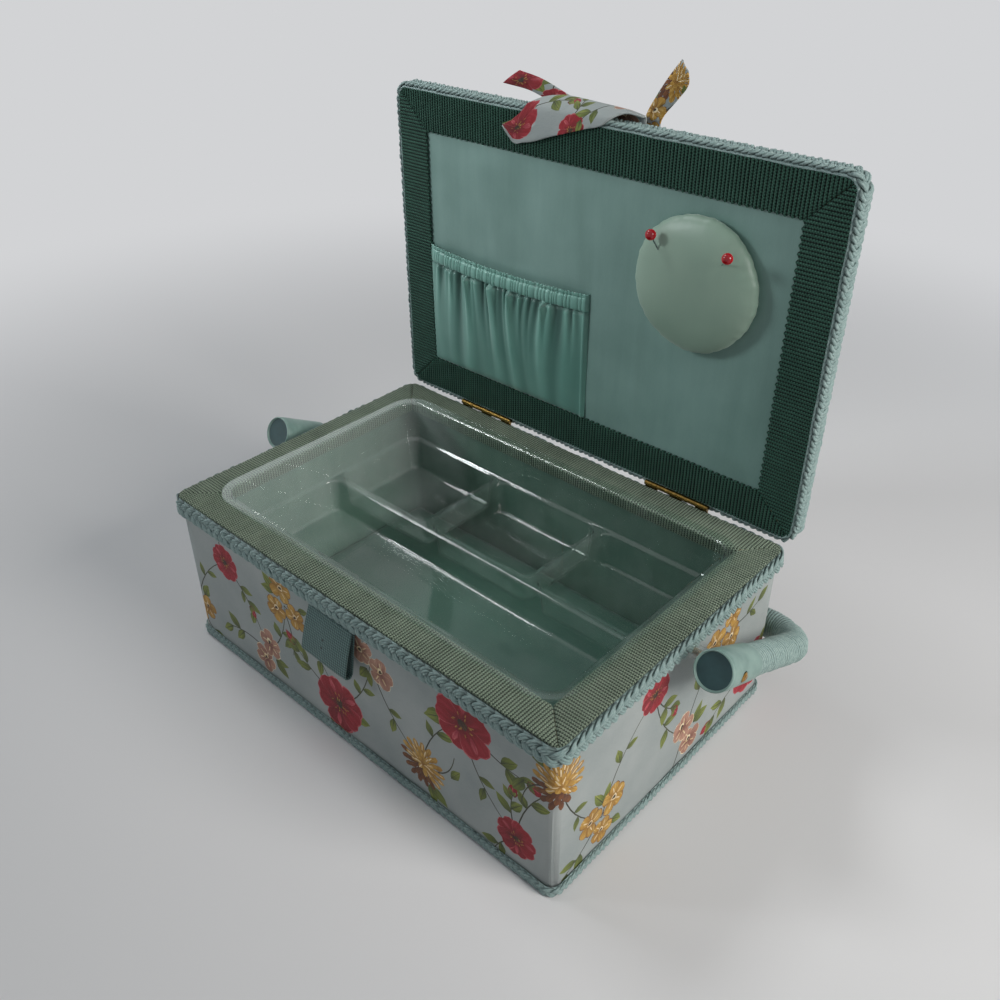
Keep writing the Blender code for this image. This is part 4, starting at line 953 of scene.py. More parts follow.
def ribbed(name, side, half, material, body, replaces, lay, *, width, pitch, height, bend=FLAT, loops=0.0):
    """A mitred strip of ribbed webbing along one side of a rectangle.

    side: (way along, way inwards). lay: flat place and height over it to a point in the frame. height: of a
    rib. bend: where it turns down, and the radius. loops: how far the loops of its inner edge stand out."""
    along, inward = (np.array(w, float) for w in side)
    reach, depth = half if side[0][0] else half[::-1]
    count = int(round(2 * reach / pitch)) * 6
    inner_rows = np.linspace(1.0, width - 0.9, max(6, int(width / 1.25)))
    rows = np.concatenate([[0.0, 0.0, 0.35], inner_rows, [width - 0.3, width, width]])
    sink = np.zeros(len(rows))
    sink[[0, -1]] = 0.95
    sink[[1, -2]] = 0.25
    U, V = np.meshgrid(np.linspace(-reach, reach, count + 1), rows)
    edge, radius = bend
    limit = reach - np.minimum(V, edge) - 0.12
    U = np.clip(U, -limit, limit)
    crest = np.abs(np.cos(math.pi * U / pitch)) ** 0.65
    group = 0.25 * bell(np.mod(U / pitch + 0.5, 4), 0.5, 0.16)
    wander = 0.12 * np.sin(U * 0.11 + V * 0.05) * np.sin(V * 0.21 + U * 0.023)
    rise = height * crest - group - sink[:, None] + wander - 0.75 * np.exp(-((limit - np.abs(U)) / 0.5))
    W = V + loops * np.abs(np.sin(math.pi * U / (2 * pitch))) * clamp((V - width + 2.2) / 2.2)
    W -= 0.35 * loops * np.abs(np.sin(math.pi * U / pitch)) * clamp(1 - V / 1.2)
    quarter = radius * math.pi / 4
    angle = np.clip((W - (edge - quarter)) / radius, 0, math.pi / 2)
    inset = np.minimum(W, edge - quarter) + radius * np.sin(angle)
    fall = radius * (1 - np.cos(angle)) + np.maximum(W - (edge + quarter), 0)
    flat = along * U[..., None] + inward * (inset + np.sin(angle) * rise - depth)[..., None]
    x, y = round_corner(flat[..., 0], flat[..., 1], half, CORNER)
    points = lay(x, y, np.cos(angle) * rise - fall)
    faces = quads(*U.shape)
    spread = U.ravel()[faces]
    faces = faces[np.abs(spread - spread.mean(1, keepdims=True)).max(1) > 1e-4]
    uvs = np.stack([U / pitch, W], -1).reshape(-1, 2)
    made = piece(name, points, faces, [material], body, {"UVMap": uvs[faces.ravel()]})
    weld(made)
    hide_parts(*replaces)


def webbings(lid_material, rim_material):
    def on_rim(x, y, z):
        return stacked(x, y, RIM - WEBBING_SEAT + z)

    def on_lid(x, y, z):
        return from_lid(x, y + LID_MIDDLE, LID_FACE - WEBBING_SEAT + z)

    for side, ways in SIDES.items():
        ribbed(
            f"webbing_rim_{side}", ways, HALF, rim_material, "basket", [f"rim_webbing_{side}"], on_rim,
            width=22.9, pitch=1.58, height=0.55, bend=(16.3, 1.4),
        )
        other = {"front": "hinge", "back": "front"}.get(side, side)
        ribbed(
            f"webbing_lid_{other}", ways, LID_HALF, lid_material, "lid", [f"lid_webbing_{other}"],
            on_lid, width=19.2, pitch=1.78, height=0.7, loops=1.2,
        )


# ---------------------------------------------------------------- braids

def plait(
    name, material, body, replaces, seed, half, turn=None, *,
    level, swing, depth, stand, cord, cords, period, step,
):
    """A three-strand plait round a rounded rectangle, each strand a flat bunch of cords.

    level: height of its middle. swing: how far the strands cross up and down. depth: how far in and out, round
    a middle that stands off the wall. cord: a cord's radius. period: length of one crossing. turn: from flat
    to the frame."""
    dice = random.Random(seed)
    total = loop_length(half, CORNER)
    periods = round(total / period)
    count = int(total / step)
    s = np.linspace(0, total, count, endpoint=False)
    flat, out = around(half, CORNER, s)
    outward = stacked(out[:, 0], out[:, 1], 0.0)
    up = np.array([0.0, 0.0, 1.0])
    base = stacked(flat[:, 0], flat[:, 1], level)

    def wandering(size, *waves):
        return sum(
            size * dice.uniform(0.6, 1)
            * np.sin(TAU * max(1, round(periods * wave)) * s / total + dice.uniform(0, TAU))
            for wave in waves
        )

    loose = wandering(0.13, 0.31, 0.47, 0.11)
    rings, depths = [], []
    for number in range(3):
        cross = TAU * (s / total * periods + number / 3) + wandering(0.12, 0.37, 0.21)
        across = swing * np.sin(cross) * (1 + wandering(0.05, 0.43)) + wandering(0.1, 0.61)
        through = depth * np.sin(2 * cross)
        middle = base + up * (across + loose)[:, None] + outward * (stand + through)[:, None]
        run = unit(np.roll(middle, -1, 0) - np.roll(middle, 1, 0))
        side = unit(np.cross(run, outward))
        for k in range(cords):
            off = k - (cords - 1) / 2
            shift = off * cord * 1.66 + wandering(0.1 * cord, 0.71, 1.3)
            dome = -0.16 * cord * abs(off) + wandering(0.13 * cord, 0.9, 1.7)
            centre = middle + side * shift[:, None] + outward * dome[:, None]
            thick = cord * (1 + wandering(0.05, 0.8, 2.3))
            rings.append(strand(centre, outward, thick, thick * 0.92))
            # Painted shade: the lower a point lies towards the wall, the darker the cord material makes it.
            lift = ((rings[-1] - base[:, None]) * outward[:, None]).sum(-1)
            depths.append(clamp(lift / (stand + depth + cord)).ravel())
    # Flat cords behind the plait, which close the gaps between its strands
    for number in range(-2, 3):
        seat = base + up * (number * (swing + cord) / 2.35 + loose)[:, None] + outward * (0.3 + 0.2 * stand)
        rings.append(strand(seat, outward, 0.3 * (swing + cord), 0.42 * stand))
        # The flat cords sit a little into the painted shade.
        depths.append(np.full(rings[-1][..., 0].size, 0.8))
    rings = np.array(rings)
    made = tubes(name, turn(rings) if turn else rings, material, body, np.concatenate(depths))
    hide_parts(replaces)


def braids(material):
    plait(
        "braid_rim", material, "basket", "rim_braid", 3, COVER_HALF,
        level=87.7, swing=3.3, depth=0.75, stand=1.75, cord=0.74, cords=3, period=15.0, step=0.8,
    )
    plait(
        "braid_base", material, "basket", "base_braid", 5, COVER_HALF,
        level=3.2, swing=1.6, depth=0.4, stand=1.1, cord=0.62, cords=2, period=10.0, step=0.8,
    )

    def onto_lid(points):
        """From a plait built flat to the lid's edge: the plait's height is the lid's thickness."""
        return from_lid(points[..., 0], points[..., 1] + LID_MIDDLE, points[..., 2])

    plait(
        "braid_lid", material, "lid", "lid_braid", 9, LID_COVER_HALF, onto_lid,
        level=-6.85, swing=3.5, depth=0.8, stand=2.1, cord=0.9, cords=2, period=10.08, step=0.6,
    )


# ---------------------------------------------------------------- clear tray

TRAY_TOP = 95.0
TRAY_LIP = ((0, 0), (117.0, 72.5), 15.5)
TRAY_WELL = ((0, 0), (111.5, 67), 10)
TRAY_CELLS = [((0, -31.375), (108, 32.125), 6)]
TRAY_CELLS += [((x, 34.875), (34.165, 28.625), 6) for x in (-73.83, 0, 73.83)]


def inside_distance(x, y, centre, half, radius):
    """How far a place lies inside a rounded rectangle, negative outside."""
    qx, qy = np.abs(x - centre[0]) - (half[0] - radius), np.abs(y - centre[1]) - (half[1] - radius)
    return radius - np.hypot(np.maximum(qx, 0), np.maximum(qy, 0)) - np.minimum(np.maximum(qx, qy), 0)


def wall_curve(depth, run, top_round, foot_round):
    """Distance inwards and height down a drafted wall with both its edges rounded."""
    full = math.pi / 2 - math.atan(run / depth)
    turn = np.linspace(0, full, 12)
    top_reach, foot_reach = (r * math.tan(full / 2) for r in (top_round, foot_round))
    top = np.stack([-top_reach + top_round * np.sin(turn), -top_round * (1 - np.cos(turn))], -1)
    way = np.array([math.cos(full), -math.sin(full)])
    foot = np.stack([math.sin(full) - np.sin(full - turn), math.cos(full) - np.cos(full - turn)], -1)
    return np.concatenate([top, np.array([run, -depth]) - way * foot_reach + foot_round * foot])


def tray(material):
    """The tray, meshed along its walls' own outlines: an upper and an under side, joined round the lip."""
    upper = wall_curve(depth=23.3, run=2.0, top_round=1.4, foot_round=1.6)
    lower = wall_curve(depth=19.5, run=2.0, top_round=1.7, foot_round=2.5)

    def height(x, y, grow):
        def wall(area, curve):
            return np.interp(inside_distance(x, y, *area) + grow, curve[:, 0], curve[:, 1])
        dig = np.minimum.reduce([wall(cell, lower) for cell in TRAY_CELLS])
        return TRAY_TOP - grow + wall(TRAY_WELL, upper) + np.minimum(dig, 0)

    points, faces, normals, rims, start = [], [], [], [], 0
    for grow, facing in ((0.0, 1), (1.0, -1)):
        flat = rounded(*TRAY_LIP)
        outline = list(range(len(flat)))
        edges = []
        for (centre, half, radius), curve in [(TRAY_WELL, upper)] + [(cell, lower) for cell in TRAY_CELLS]:
            for inset in curve[:, 0] - grow:
                ring = rounded(centre, shrunk(half, inset), radius - inset)
                edges += [(len(flat) + k, len(flat) + (k + 1) % len(ring)) for k in range(len(ring))]
                flat += ring
        found = delaunay_2d_cdt([Vector(p) for p in flat], edges, [outline], 1, 1e-5)
        x, y = np.array([tuple(p) for p in found[0]]).T
        place = {old: new for new, olds in enumerate(found[3]) for old in olds}
        h = 0.03
        back_x = height(x - h, y, grow) - height(x + h, y, grow)
        back_y = height(x, y - h, grow) - height(x, y + h, grow)
        these = np.array([face[::facing] for face in found[2]])
        normals.append(facing * unit(stacked(back_x, back_y, 2 * h))[these].reshape(-1, 3))
        points.append(np.column_stack([x, y, height(x, y, grow)]))
        faces += (these + start).tolist()
        rims.append(np.array([place[k] for k in outline]) + start)
        start += len(x)
    top, under = rims
    after = np.roll(np.arange(len(top)), -1)
    faces += np.stack([top, under, under[after], top[after]], -1).tolist()
    run = points[0][top[after]] - points[0][top]
    normals.append(np.repeat(unit(stacked(run[:, 1], -run[:, 0], 0.0)), 4, 0))
    made = piece(
        "tray_moulding", np.concatenate(points), faces, [material], "tray",
        normals=np.concatenate(normals),
    )
    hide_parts("tray")


# ---------------------------------------------------------------- satin pieces

def linings(material, pad_material):
    """The satin inside: round the walls, and the padded base."""
    half = (123.3, 78.8)
    total = loop_length(half, CORNER)
    S, Z = np.meshgrid(np.linspace(0, total, 420), np.concatenate([[5.3], np.linspace(8, 84, 22), [86.1]]))
    flat, out = around(half, CORNER, S)
    ripple = 0.35 * np.sin(S * 0.13 + 0.8 * np.sin(Z * 0.07)) * np.sin(math.pi * (Z - 5.3) / 81)
    ripple = np.clip(ripple + 0.15 * np.sin(S * 0.41 + Z * 0.02), -0.3, 0.5)
    points = np.concatenate([flat - out * (0.3 + ripple)[..., None], Z[..., None]], -1)
    made = surface("lining_walls", points, material, "basket", flip=True)
    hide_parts("lining")
    total * MM

    half = (122.6, 78.1)
    t = np.linspace(-1, 1, 61)
    w = np.sign(t) * (1 - (1 - np.abs(t)) ** 1.25)
    X, Y = np.meshgrid(w * half[0], w * half[1])
    edge = clamp(np.minimum(half[0] - np.abs(X), half[1] - np.abs(Y)) / 5)
    top = 5.45 + 2.7 * np.sqrt(clamp(1 - (1 - edge) ** 2)) + 0.25 * np.sin(X * 0.05) * np.sin(Y * 0.06)
    X, Y = round_corner(X, Y, half, CORNER)
    n = len(t)
    grid, order = quads(n, n), np.arange(n * n).reshape(n, n)
    rim = np.concatenate([order[0], order[1:, -1], order[-1, -2::-1], order[-2:0:-1, 0]])
    after = np.roll(rim, -1)
    faces = np.concatenate([grid, grid[:, ::-1] + n * n, np.stack([rim + n * n, after + n * n, after, rim], -1)])
    points = np.concatenate([stacked(X, Y, z).reshape(-1, 3) for z in (top, 5.3)])
    made = piece("base_padding", points, faces, [pad_material], "basket")
    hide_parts("base_pad")


def lid_satin(material):
    """The panel inside the lid, laid a little loosely under the webbing."""
    half_x, half_y = PANEL_HALF
    xs, ys = np.linspace(-half_x, half_x, 116), np.linspace(LID_MIDDLE - half_y, LID_MIDDLE + half_y, 72)
    X, Y = np.meshgrid(xs, ys)
    edge = clamp(np.minimum(half_x - np.abs(X), half_y - np.abs(Y - LID_MIDDLE)) / 16)
    lean = X + 0.22 * (Y - 20)
    puff = 0.55 * np.sin(lean * 0.075 + 0.9 * np.sin(Y * 0.02)) * np.sin(Y * 0.018 + 0.5)
    puff += 0.3 * bell(lean + 0.05 * Y, -38, 5) * clamp((Y - 60) / 60)
    puff += 0.35 * bell(lean - 0.1 * Y, 4, 4) * clamp((Y - 70) / 50)
    puff += 0.25 * np.sin(lean * 0.16 + 2.2 * np.sin(Y * 0.016)) * clamp((Y - 40) / 80)
    puff += 0.3 * bell(X, 33, 1.6) * clamp((100 - Y) / 50)
    under_pocket = clamp((8 - X) / 6) * clamp((96 - Y) / 6)
    Z = -3.45 + edge * (0.5 + (1.5 - 1.2 * under_pocket) * puff)
    made = surface("lining_lid", from_lid(X, Y, Z), material, "lid")
    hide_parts("lid_lining")


def pocket(material):
    """The gathered pocket: a ruched header over its elastic, then folds that run out towards its foot."""
    header = 0.86
    columns, rows, header_rows = 480, 96, 30
    body_rows = np.linspace(0, header, rows - header_rows, endpoint=False)
    A, U = np.meshgrid(np.linspace(0, 1, columns), np.concatenate([body_rows, np.linspace(header, 1, header_rows)]))
    spread = np.sqrt(clamp(np.sin(math.pi * A)))
    swell = 5.6 * np.sin(math.pi * (0.08 + 0.62 * U))
    warp = A + 0.014 * np.sin(U * 4 + A * 9)
    below = clamp((header - U) / header)

    def gathers(*waves):
        return sum(size * np.cos(TAU * (count * warp + start) + bend * below) for count, size, start, bend in waves)

    broad = gathers((6.4, 1.0, 0.1, 0.8), (9.7, 0.85, 0.55, -1.2), (4.1, 0.55, 0.8, 0.6))
    fine = gathers((17, 0.6, 0.2, 0), (23, 0.5, 0.7, 0), (31, 0.32, 0.4, 0))
    folds = 1.5 * broad * (0.14 + 0.86 * np.exp(-below * 3.0)) + 1.6 * fine * np.exp(-below * 5.5)
    head = clamp((U - 0.855) / 0.02)
    ruche = np.sin(math.pi * (48 * A + 0.35 * np.sin(A * 31) + 0.3 * np.sin(A * 83 + 1)))
    ruche = 0.55 * np.abs(ruche) ** 0.7 - 0.3
    frill = clamp((U - 0.968) / 0.012)
    band = 0.75 * np.sin(math.pi * clamp((U - 0.862) / 0.108)) ** 0.6
    pinch = -1.5 * bell(U, header, 0.01) - 0.5 * bell(U, 0.97, 0.006)
    edge_in = clamp(spread * 1.6) * clamp(U * 2)
    rise = (swell + folds * (1 - head)) * spread
    rise = np.maximum(rise + (ruche * np.maximum(head, 0.6 * frill) + band + pinch) * edge_in, 0)
    rise = rise * clamp(U / 0.05) ** 0.5 + 0.7 * bell(A, 0.985, 0.008)
    sag = 1.2 * np.sin(math.pi * A) * U ** 6
    x = -110.2 + 113.4 * A + 0.35 * np.sin(TAU * 20 * A) * U * (1 - A) * A * 4
    y = 20.6 + 70.6 * U - sag + 0.25 * np.cos(TAU * 48 * A) * clamp((U - 0.95) / 0.05)
    points, uvs = from_lid(x, y, -2.75 + rise), np.stack([x, y], -1)
    made = surface("pocket_gathered", points, material, "lid", 0.55, uvs)
    # Painted shade: low values darken the satin in the valleys of the folds and the ruche, and in the pinch under the
    # header.
    fold_shade = clamp(0.62 + 0.42 * folds * (1 - head)) * (1 - head) + head * clamp(0.75 + 1.3 * ruche)
    mark(made, "depth", "POINT", fold_shade * (1 - 0.8 * bell(U, 0.855, 0.012)))
    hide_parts("pocket")


def pincushion(material):
    """The round cushion, full in the middle and drawn in at its foot, with fine gathers round its side."""
    columns, rows = 192, 44
    angle = math.pi * 0.5 * (1 - np.linspace(0, 1, rows)) * 1.28 - 0.44
    radius = np.cos(np.clip(angle, -1.5, math.pi / 2)) ** 0.78
    radius[0] = 0
    height = np.sign(np.sin(angle)) * np.abs(np.sin(angle)) ** 0.9
    height = (height - height.min()) / (height.max() - height.min()) * 11.6
    R, T = np.meshgrid(clamp(radius / radius.max()) * 31.9, TAU * np.arange(columns) / columns, indexing="ij")
    rim = clamp((R - 19) / 13) ** 2
    pleat = sum(d * np.cos(n * T + p) for n, d, p in ((31, 0.1, 0), (44, 0.09, 1.1), (17, 0.12, 2.0), (5, 0.22, 0.4)))
    dimple = 0.28 * np.sin(0.11 * R * np.cos(T) + 1) * np.sin(0.13 * R * np.sin(T)) * (1 - rim)
    R = R + pleat * rim
    points = from_lid(64.5 + R * np.cos(T), 113.5 + R * np.sin(T), -2.95 + height[:, None] + dimple)
    faces = quads(rows, columns, False, True).tolist()
    faces.append([(rows - 1) * columns + k for k in range(columns)])
    made = piece("pincushion_stuffed", points, faces, [material], "lid")
    weld(made, outward=True)
    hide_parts("pincushion")


# ---------------------------------------------------------------- bow

# Share along, then where the loop's two edges are on their way over the lid's edge, and how far it lifts
LOOP_TABLE = (
    (0, 0.0, 0.22, 0.33), (0.093, 0.0, 0.30, 0.65), (0.185, 0.0, 0.515, 0.78), (0.33, 0.03, 0.63, 0.9),
    (0.476, 0.055, 0.73, 1.0), (0.608, 0.137, 0.82, 1.0), (0.754, 0.274, 0.93, 0.55),
    (0.833, 0.545, 0.967, 0.3), (0.9, 0.666, 1.0, 0.2), (1.0, 0.77, 0.80, 0.1),
)
# Share along, then where its near and its far edge are, as shares of the tail's reach and rise
TAIL_TABLES = {
    "left": (
        (0, 0.0, 0.06, 0.0, 0.316), (0.2, 0.195, 0.12, 0.195, 0.395), (0.4, 0.41, 0.277, 0.337, 0.534),
        (0.6, 0.62, 0.514, 0.515, 0.727), (0.8, 0.787, 0.672, 0.70, 0.917), (1.0, 1.0, 0.723, 0.87, 1.0),
    ),
    "right": (
        (0, 0, 0, 0.40, 0), (0.2, 0.05, 0.19, 0.44, 0.17), (0.5, 0.35, 0.54, 0.77, 0.476),
        (0.8, 0.65, 0.85, 1.0, 0.71), (1.0, 0.81, 1.0, 0.99, 0.873),
    ),
}


def smooth_table(table, where):
    """A table's columns at places along its first one, on a smooth curve."""
    table = np.asarray(table, float)
    x, y = table[:, 0], table[:, 1:]
    slope = np.gradient(y, x, axis=0)
    where = np.clip(np.asarray(where, float), x[0], x[-1])
    k = np.clip(np.searchsorted(x, where, side="right") - 1, 0, len(x) - 2)
    gap = (x[k + 1] - x[k])[..., None]
    t = (where - x[k])[..., None] / gap
    found = (
        (2 * t ** 3 - 3 * t ** 2 + 1) * y[k] + (t ** 3 - 2 * t ** 2 + t) * gap * slope[k]
        + (-2 * t ** 3 + 3 * t ** 2) * y[k + 1] + (t ** 3 - t ** 2) * gap * slope[k + 1]
    )
    return np.moveaxis(found, -1, 0)


def over_edge(way, lift):
    """Places on the way a ribbon takes: up behind the lid's edge, across it and down the inner face."""
    behind, drop = 5.0, 19.2
    top = LID_TOP + 3.9
    back = pad_surface(BOW_X, top - behind) - 0.7
    face = LID_FACE + 0.7
    crossed = behind + face - back
    travel = (crossed + drop) * way
    rise = 4.5 * lift * np.sin(math.pi * clamp(travel / crossed))
    down = clamp((travel - crossed) / drop)
    up, across = travel < behind, travel < crossed
    y = np.where(up, top - behind + travel + rise, np.where(across, top + rise, top - down * drop))
    z = np.where(up, back, np.where(across, back + travel - behind, face + 0.9 * np.sin(math.pi * down)))
    return y, z


def ribbon(name, size, place, replaces, seed, bunches, step=2.2, thick=0.7):
    """A printed ribbon: cloth of a size, and its surface from shares along and across.

    bunches: for each, its number in the print, its place on the cloth and its turn."""
    printed = Print(seed)
    for number, x, y, turn in bunches:
        printed.cluster(number, complex(x, y), turn)
    made = printed_cloth(
        name, printed, rectangle((0, 0), size, 1.6), grid_points((0, 0), size, step),
        lambda spots: place(spots[:, 0] / size[0], spots[:, 1] / size[1]), "lid",
    )
    thicken(made, thick)
    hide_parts(*replaces)


def bow():
    middle = pad_surface(BOW_X, LID_TOP - 10.6) - 3.05
    knot_end = 5.3

    def inner(a, b):
        start, end, lift = smooth_table(LOOP_TABLE, a)
        y, z = over_edge(start + (end - start) * b, lift)
        return from_lid(BOW_X - 75.6 * a, y, z + 0.5 * bell(b, 0.97, 0.09) * clamp((a - 0.4) / 0.3))

    bunches = ((0, 66, 11, 2.6), (4, 33, 25, 0.4), (3, 12, 4, 1.0))
    ribbon("bow_loop_face", (76, 26), inner, ["bow_loop_inner"], 41, bunches)

    def outer(a, b):
        droop, narrow, length = math.radians(30), 11 / 4, 37
        c, s = math.cos(droop), math.sin(droop)
        angle = math.pi / 16 + 2 * (math.pi - math.pi / 16) * a
        reach = (1 - np.cos(angle)) / 2
        foot = LID_TOP - 6.1
        low = pad_surface(BOW_X + knot_end, foot - length * s - 5.5) - 2.7
        spread = (b * 2 - 1) * narrow * (1 + reach)
        x = BOW_X + knot_end + 0.4 + narrow * s + c * length * reach + s * spread
        y = foot - s * length * reach + c * spread
        z = low + 2 * np.sin(angle) * (1 - 0.25 * (b * 2 - 1) ** 2) + 0.3 * np.sin(a * 40 + b * 3) * reach
        return from_lid(x, y, z)

    ribbon("bow_loop_back", (76, 10.5), outer, ["bow_loop_outer"], 43, ((1, 20, 3, 0.2), (4, 52, 7, 2.0)))

    def tail(side, x, y, reach, rise):
        def place(a, b):
            near_x, near_y, far_x, far_y = smooth_table(TAIL_TABLES[side], a)
            cup = 0.9 * (1 - (2 * b - 1) ** 2) * clamp(a * 2)
            roll = 1.1 * np.sin(TAU * a + 1.0) * (b - 0.5) if side == "right" else 0
            return from_lid(
                x + reach * (near_x + (far_x - near_x) * b), y + rise * (near_y + (far_y - near_y) * b),
                middle + 1.5 * near_y + cup + roll - 0.4,
            )
        return place

    left = tail("left", BOW_X - knot_end, LID_TOP - 10.6, -84.5, 25.3)
    right = tail("right", BOW_X - 4.2, LID_TOP - 1.3, 22.7, 31.5)
    bunches = ((0, 80, 5, 0.3), (4, 55, 3, 3.0), (3, 30, 8, 1.0))
    ribbon("bow_end_left", (88, 10.5), left, ["bow_tail_left"], 47, bunches)
    ribbon("bow_end_right", (35, 10.5), right, ["bow_tail_right"], 47, ((2, 25, 5, 0.2), (1, 6, 8, 3.0)))

    def knot(a, b):
        turn, power = TAU * a, 0.62
        swell = 1 - 0.5 * (2 * b - 1) ** 2
        fold = 0.22 * np.sin(turn * 2 + b * 16) * swell
        c, s = (np.sign(wave) * np.abs(wave) ** power for wave in (np.cos(turn), np.sin(turn)))
        y = LID_TOP - 6.1 + (4.4 * swell ** 0.4 + fold) * c
        return from_lid(BOW_X - 4.9 + 9.8 * b, y, middle + (2.7 * swell ** 0.4 + fold) * s)

    ribbon("bow_knot_wrap", (24, 10.5), knot, ["bow_knot"], 59, ((0, 12, 5, 1.0),), step=1.2, thick=0.5)


# ---------------------------------------------------------------- handle

# Radius and distance from the pivot, from the cap's closed end to the bore that takes the core
CAP_PROFILE = [
    (0, -11.75), (7.4, -11.75), (8.15, -11.85), (8.42, -12.3), (8.5, -12.75), (8.75, -13.0), (9.1, -12.85),
    (9.3, -12.4), (9.3, -11.6), (9.18, -11.35), (9.3, -11.1), (9.32, -6.5), (9.28, -4.5), (9.12, -3.0),
    (8.9, 6.0), (8.62, 16.0), (8.48, 18.8), (8.3, 19.6), (7.9, 19.95), (7.0, 20.0), (5.4, 20.0), (5.3, 19.6),
    (5.3, 10.5), (0, 10.5),
]


def from_handle(x, reach, up):
    """Points in the handle's axes to the frame."""
    c, s = math.cos(HANDLE_LEAN), math.sin(HANDLE_LEAN)
    return stacked(x, PIVOT[0] + c * reach + s * up, PIVOT[1] - s * reach + c * up)


def handle_cord(cord):
    """The paper cord, wound on the handle in seven starts, as one skin with its turns in relief."""
    reach = (85.0 + 0.3 + 7.6 - PIVOT[0]) / math.cos(HANDLE_LEAN)
    bend, start = 26.0, 19.6
    total = 2 * (reach - bend - start) + math.pi * bend + 2 * (HANDLE_LEG - bend)
    count, sides = int(total / 0.36), 56
    pitch, starts = 2.05, 7
    s = np.linspace(0, total, count)
    centre, out = around((HANDLE_LEG, reach), bend, s - total / 2)
    s, angle = s[:, None], TAU * np.arange(sides) / sides
    wound = s / pitch + starts * angle / TAU + 0.1 * np.sin(s * 0.21)
    ridge = np.abs(np.sin(math.pi * wound))
    uneven = 0.12 * np.sin(s * 0.37 + 2 * np.sin(angle)) + 0.1 * np.sin(TAU * wound * 0.253)
    ends = 1 - 0.12 * (np.exp(-s / 0.8) + np.exp(-(total - s) / 0.8))
    radius = (7.0 + 0.6 * ridge ** 0.7 + uneven) * ends
    flat = centre[:, None] + (radius * np.cos(angle))[..., None] * out[:, None]
    points = from_handle(flat[..., 0], flat[..., 1], radius * np.sin(angle))
    faces = quads(count, sides, False, True)
    share = wrapped(faces % sides, sides) / sides
    uvs = np.stack([share * TAU * 7.5, s[:, 0][faces // sides] / pitch + starts * share], -1).reshape(-1, 2)
    made = piece("handle_cord", points, faces, [cord], "handle", {"UVMap": uvs})
    # Painted shade: the grooves between turns get a low depth, which the cord material darkens.
    mark(made, "depth", "POINT", ridge ** 0.6)
    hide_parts("handle_wrap")


def handle_caps(plastic, face):
    sides = 72
    finer = []
    for (r0, z0), (r1, z1) in zip(CAP_PROFILE, CAP_PROFILE[1:]):
        parts = max(1, int(math.hypot(r1 - r0, z1 - z0) / 2.0))
        finer += [(r0 + (r1 - r0) * k / parts, z0 + (z1 - z0) * k / parts) for k in range(parts)]
    radii, along = np.array(finer + CAP_PROFILE[-1:]).T[..., None]
    angle = TAU * np.arange(sides) / sides
    faces = quads(len(radii), sides, False, True)
    # The recessed end face, which takes the painted-shade plastic.
    painted_shade_faces = ((radii <= 8.3) & (along < -11))[faces // sides, 0].all(1)
    for name, sign in (("left", -1), ("right", 1)):
        points = from_handle(sign * HANDLE_LEG + radii * np.cos(angle), along, radii * np.sin(angle))
        made = piece(f"cap_{name}", points, faces, [plastic, face], "handle", index=painted_shade_faces)
        weld(made, outward=True)
        pierce(made, sign * 130, sign * 170, 1.7)
        pierce(made, sign * 156.2, sign * 170, 2.75)
        made.data.shade_smooth()
        made.data.set_sharp_from_angle(angle=math.radians(40))
        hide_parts(f"handle_cap_{name}")


def pierce(made, start, end, radius):
    """Cuts a round hole along the pivot's axis, and leaves the piece as a plain mesh."""
    start, end = (Vector((x, *PIVOT)) * MM for x in (start, end))
    bm = bmesh.new()
    turn = (end - start).to_track_quat("Z", "Y").to_matrix().to_4x4()
    bmesh.ops.create_cone(
        bm, cap_ends=True, segments=32, radius1=radius * MM, radius2=radius * MM, depth=(end - start).length,
        matrix=Matrix.Translation((start + end) / 2) @ turn,
    )
    mesh = bpy.data.meshes.new("cutter")
    bm.to_mesh(mesh)
    bm.free()
    cutter = added("cutter", mesh)
    cut = made.modifiers.new("hole", "BOOLEAN")
    cut.object, cut.operation, cut.solver = cutter, "DIFFERENCE", "EXACT"
    result = bpy.data.meshes.new_from_object(made.evaluated_get(bpy.context.evaluated_depsgraph_get()))
    made.modifiers.clear()
    made.data = result
    bpy.data.objects.remove(cutter, do_unlink=True)


# ---------------------------------------------------------------- front tab

def tab(material):
    """The folded loop of webbing under the rim braid, flaring outwards, with the cords showing at its fold."""
    top, width, thick, length, fold = 82.5, 31.0, 0.8, 23.4, 1.5
    steps, fold_steps = 24, 10
    heads = (-85.75, -85.75 - thick - 0.3)
    (back_y, back_z), (front_y, front_z) = (
        (y - length * math.sin(math.radians(a)), top - length * math.cos(math.radians(a)))
        for y, a in zip(heads, (10, 18))
    )
    t = np.arange(steps + 1) / steps
    a = math.pi * np.arange(1, fold_steps) / fold_steps
    down = np.stack([heads[0] + (back_y - heads[0]) * t, top + (back_z - top) * t], -1)
    turn_y = (back_y + front_y) / 2 + (back_y - front_y) / 2 * np.cos(a)
    turn = np.stack([turn_y, (back_z + front_z) / 2 - fold * np.sin(a)], -1)
    t = 1 - t
    bow_out = 0.5 * np.sin(math.pi * t)
    up = np.stack([heads[1] + (front_y - heads[1]) * t - bow_out, top + (front_z - top) * t], -1)
    line = np.concatenate([down, turn, up])
    v = np.concatenate([[0], np.cumsum(np.linalg.norm(np.diff(line, axis=0), axis=1))])
    X, V = np.meshgrid(np.linspace(-width / 2, width / 2, 63), v)
    foot = v[steps + fold_steps // 2]
    tooth = 0.5 * bell(V, foot, 2.2) * np.sign(np.sin(TAU * X / 1.5))
    Y = line[:, :1] - 0.25 * np.sin(X * 0.16 + 0.5) * clamp(V / 20)
    Z = line[:, 1:] - tooth
    points = stacked(X * (1 + 0.03 * clamp((top - Z) / 20)) - 3.6, Y, Z)
    uvs = np.stack([X, np.where(V > foot, v[-1] - V, V + 40)], -1)
    made = surface("tab_loop", points, material, "basket", thick - 0.2, uvs)
    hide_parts("front_tab")


# ---------------------------------------------------------------- solids that stay

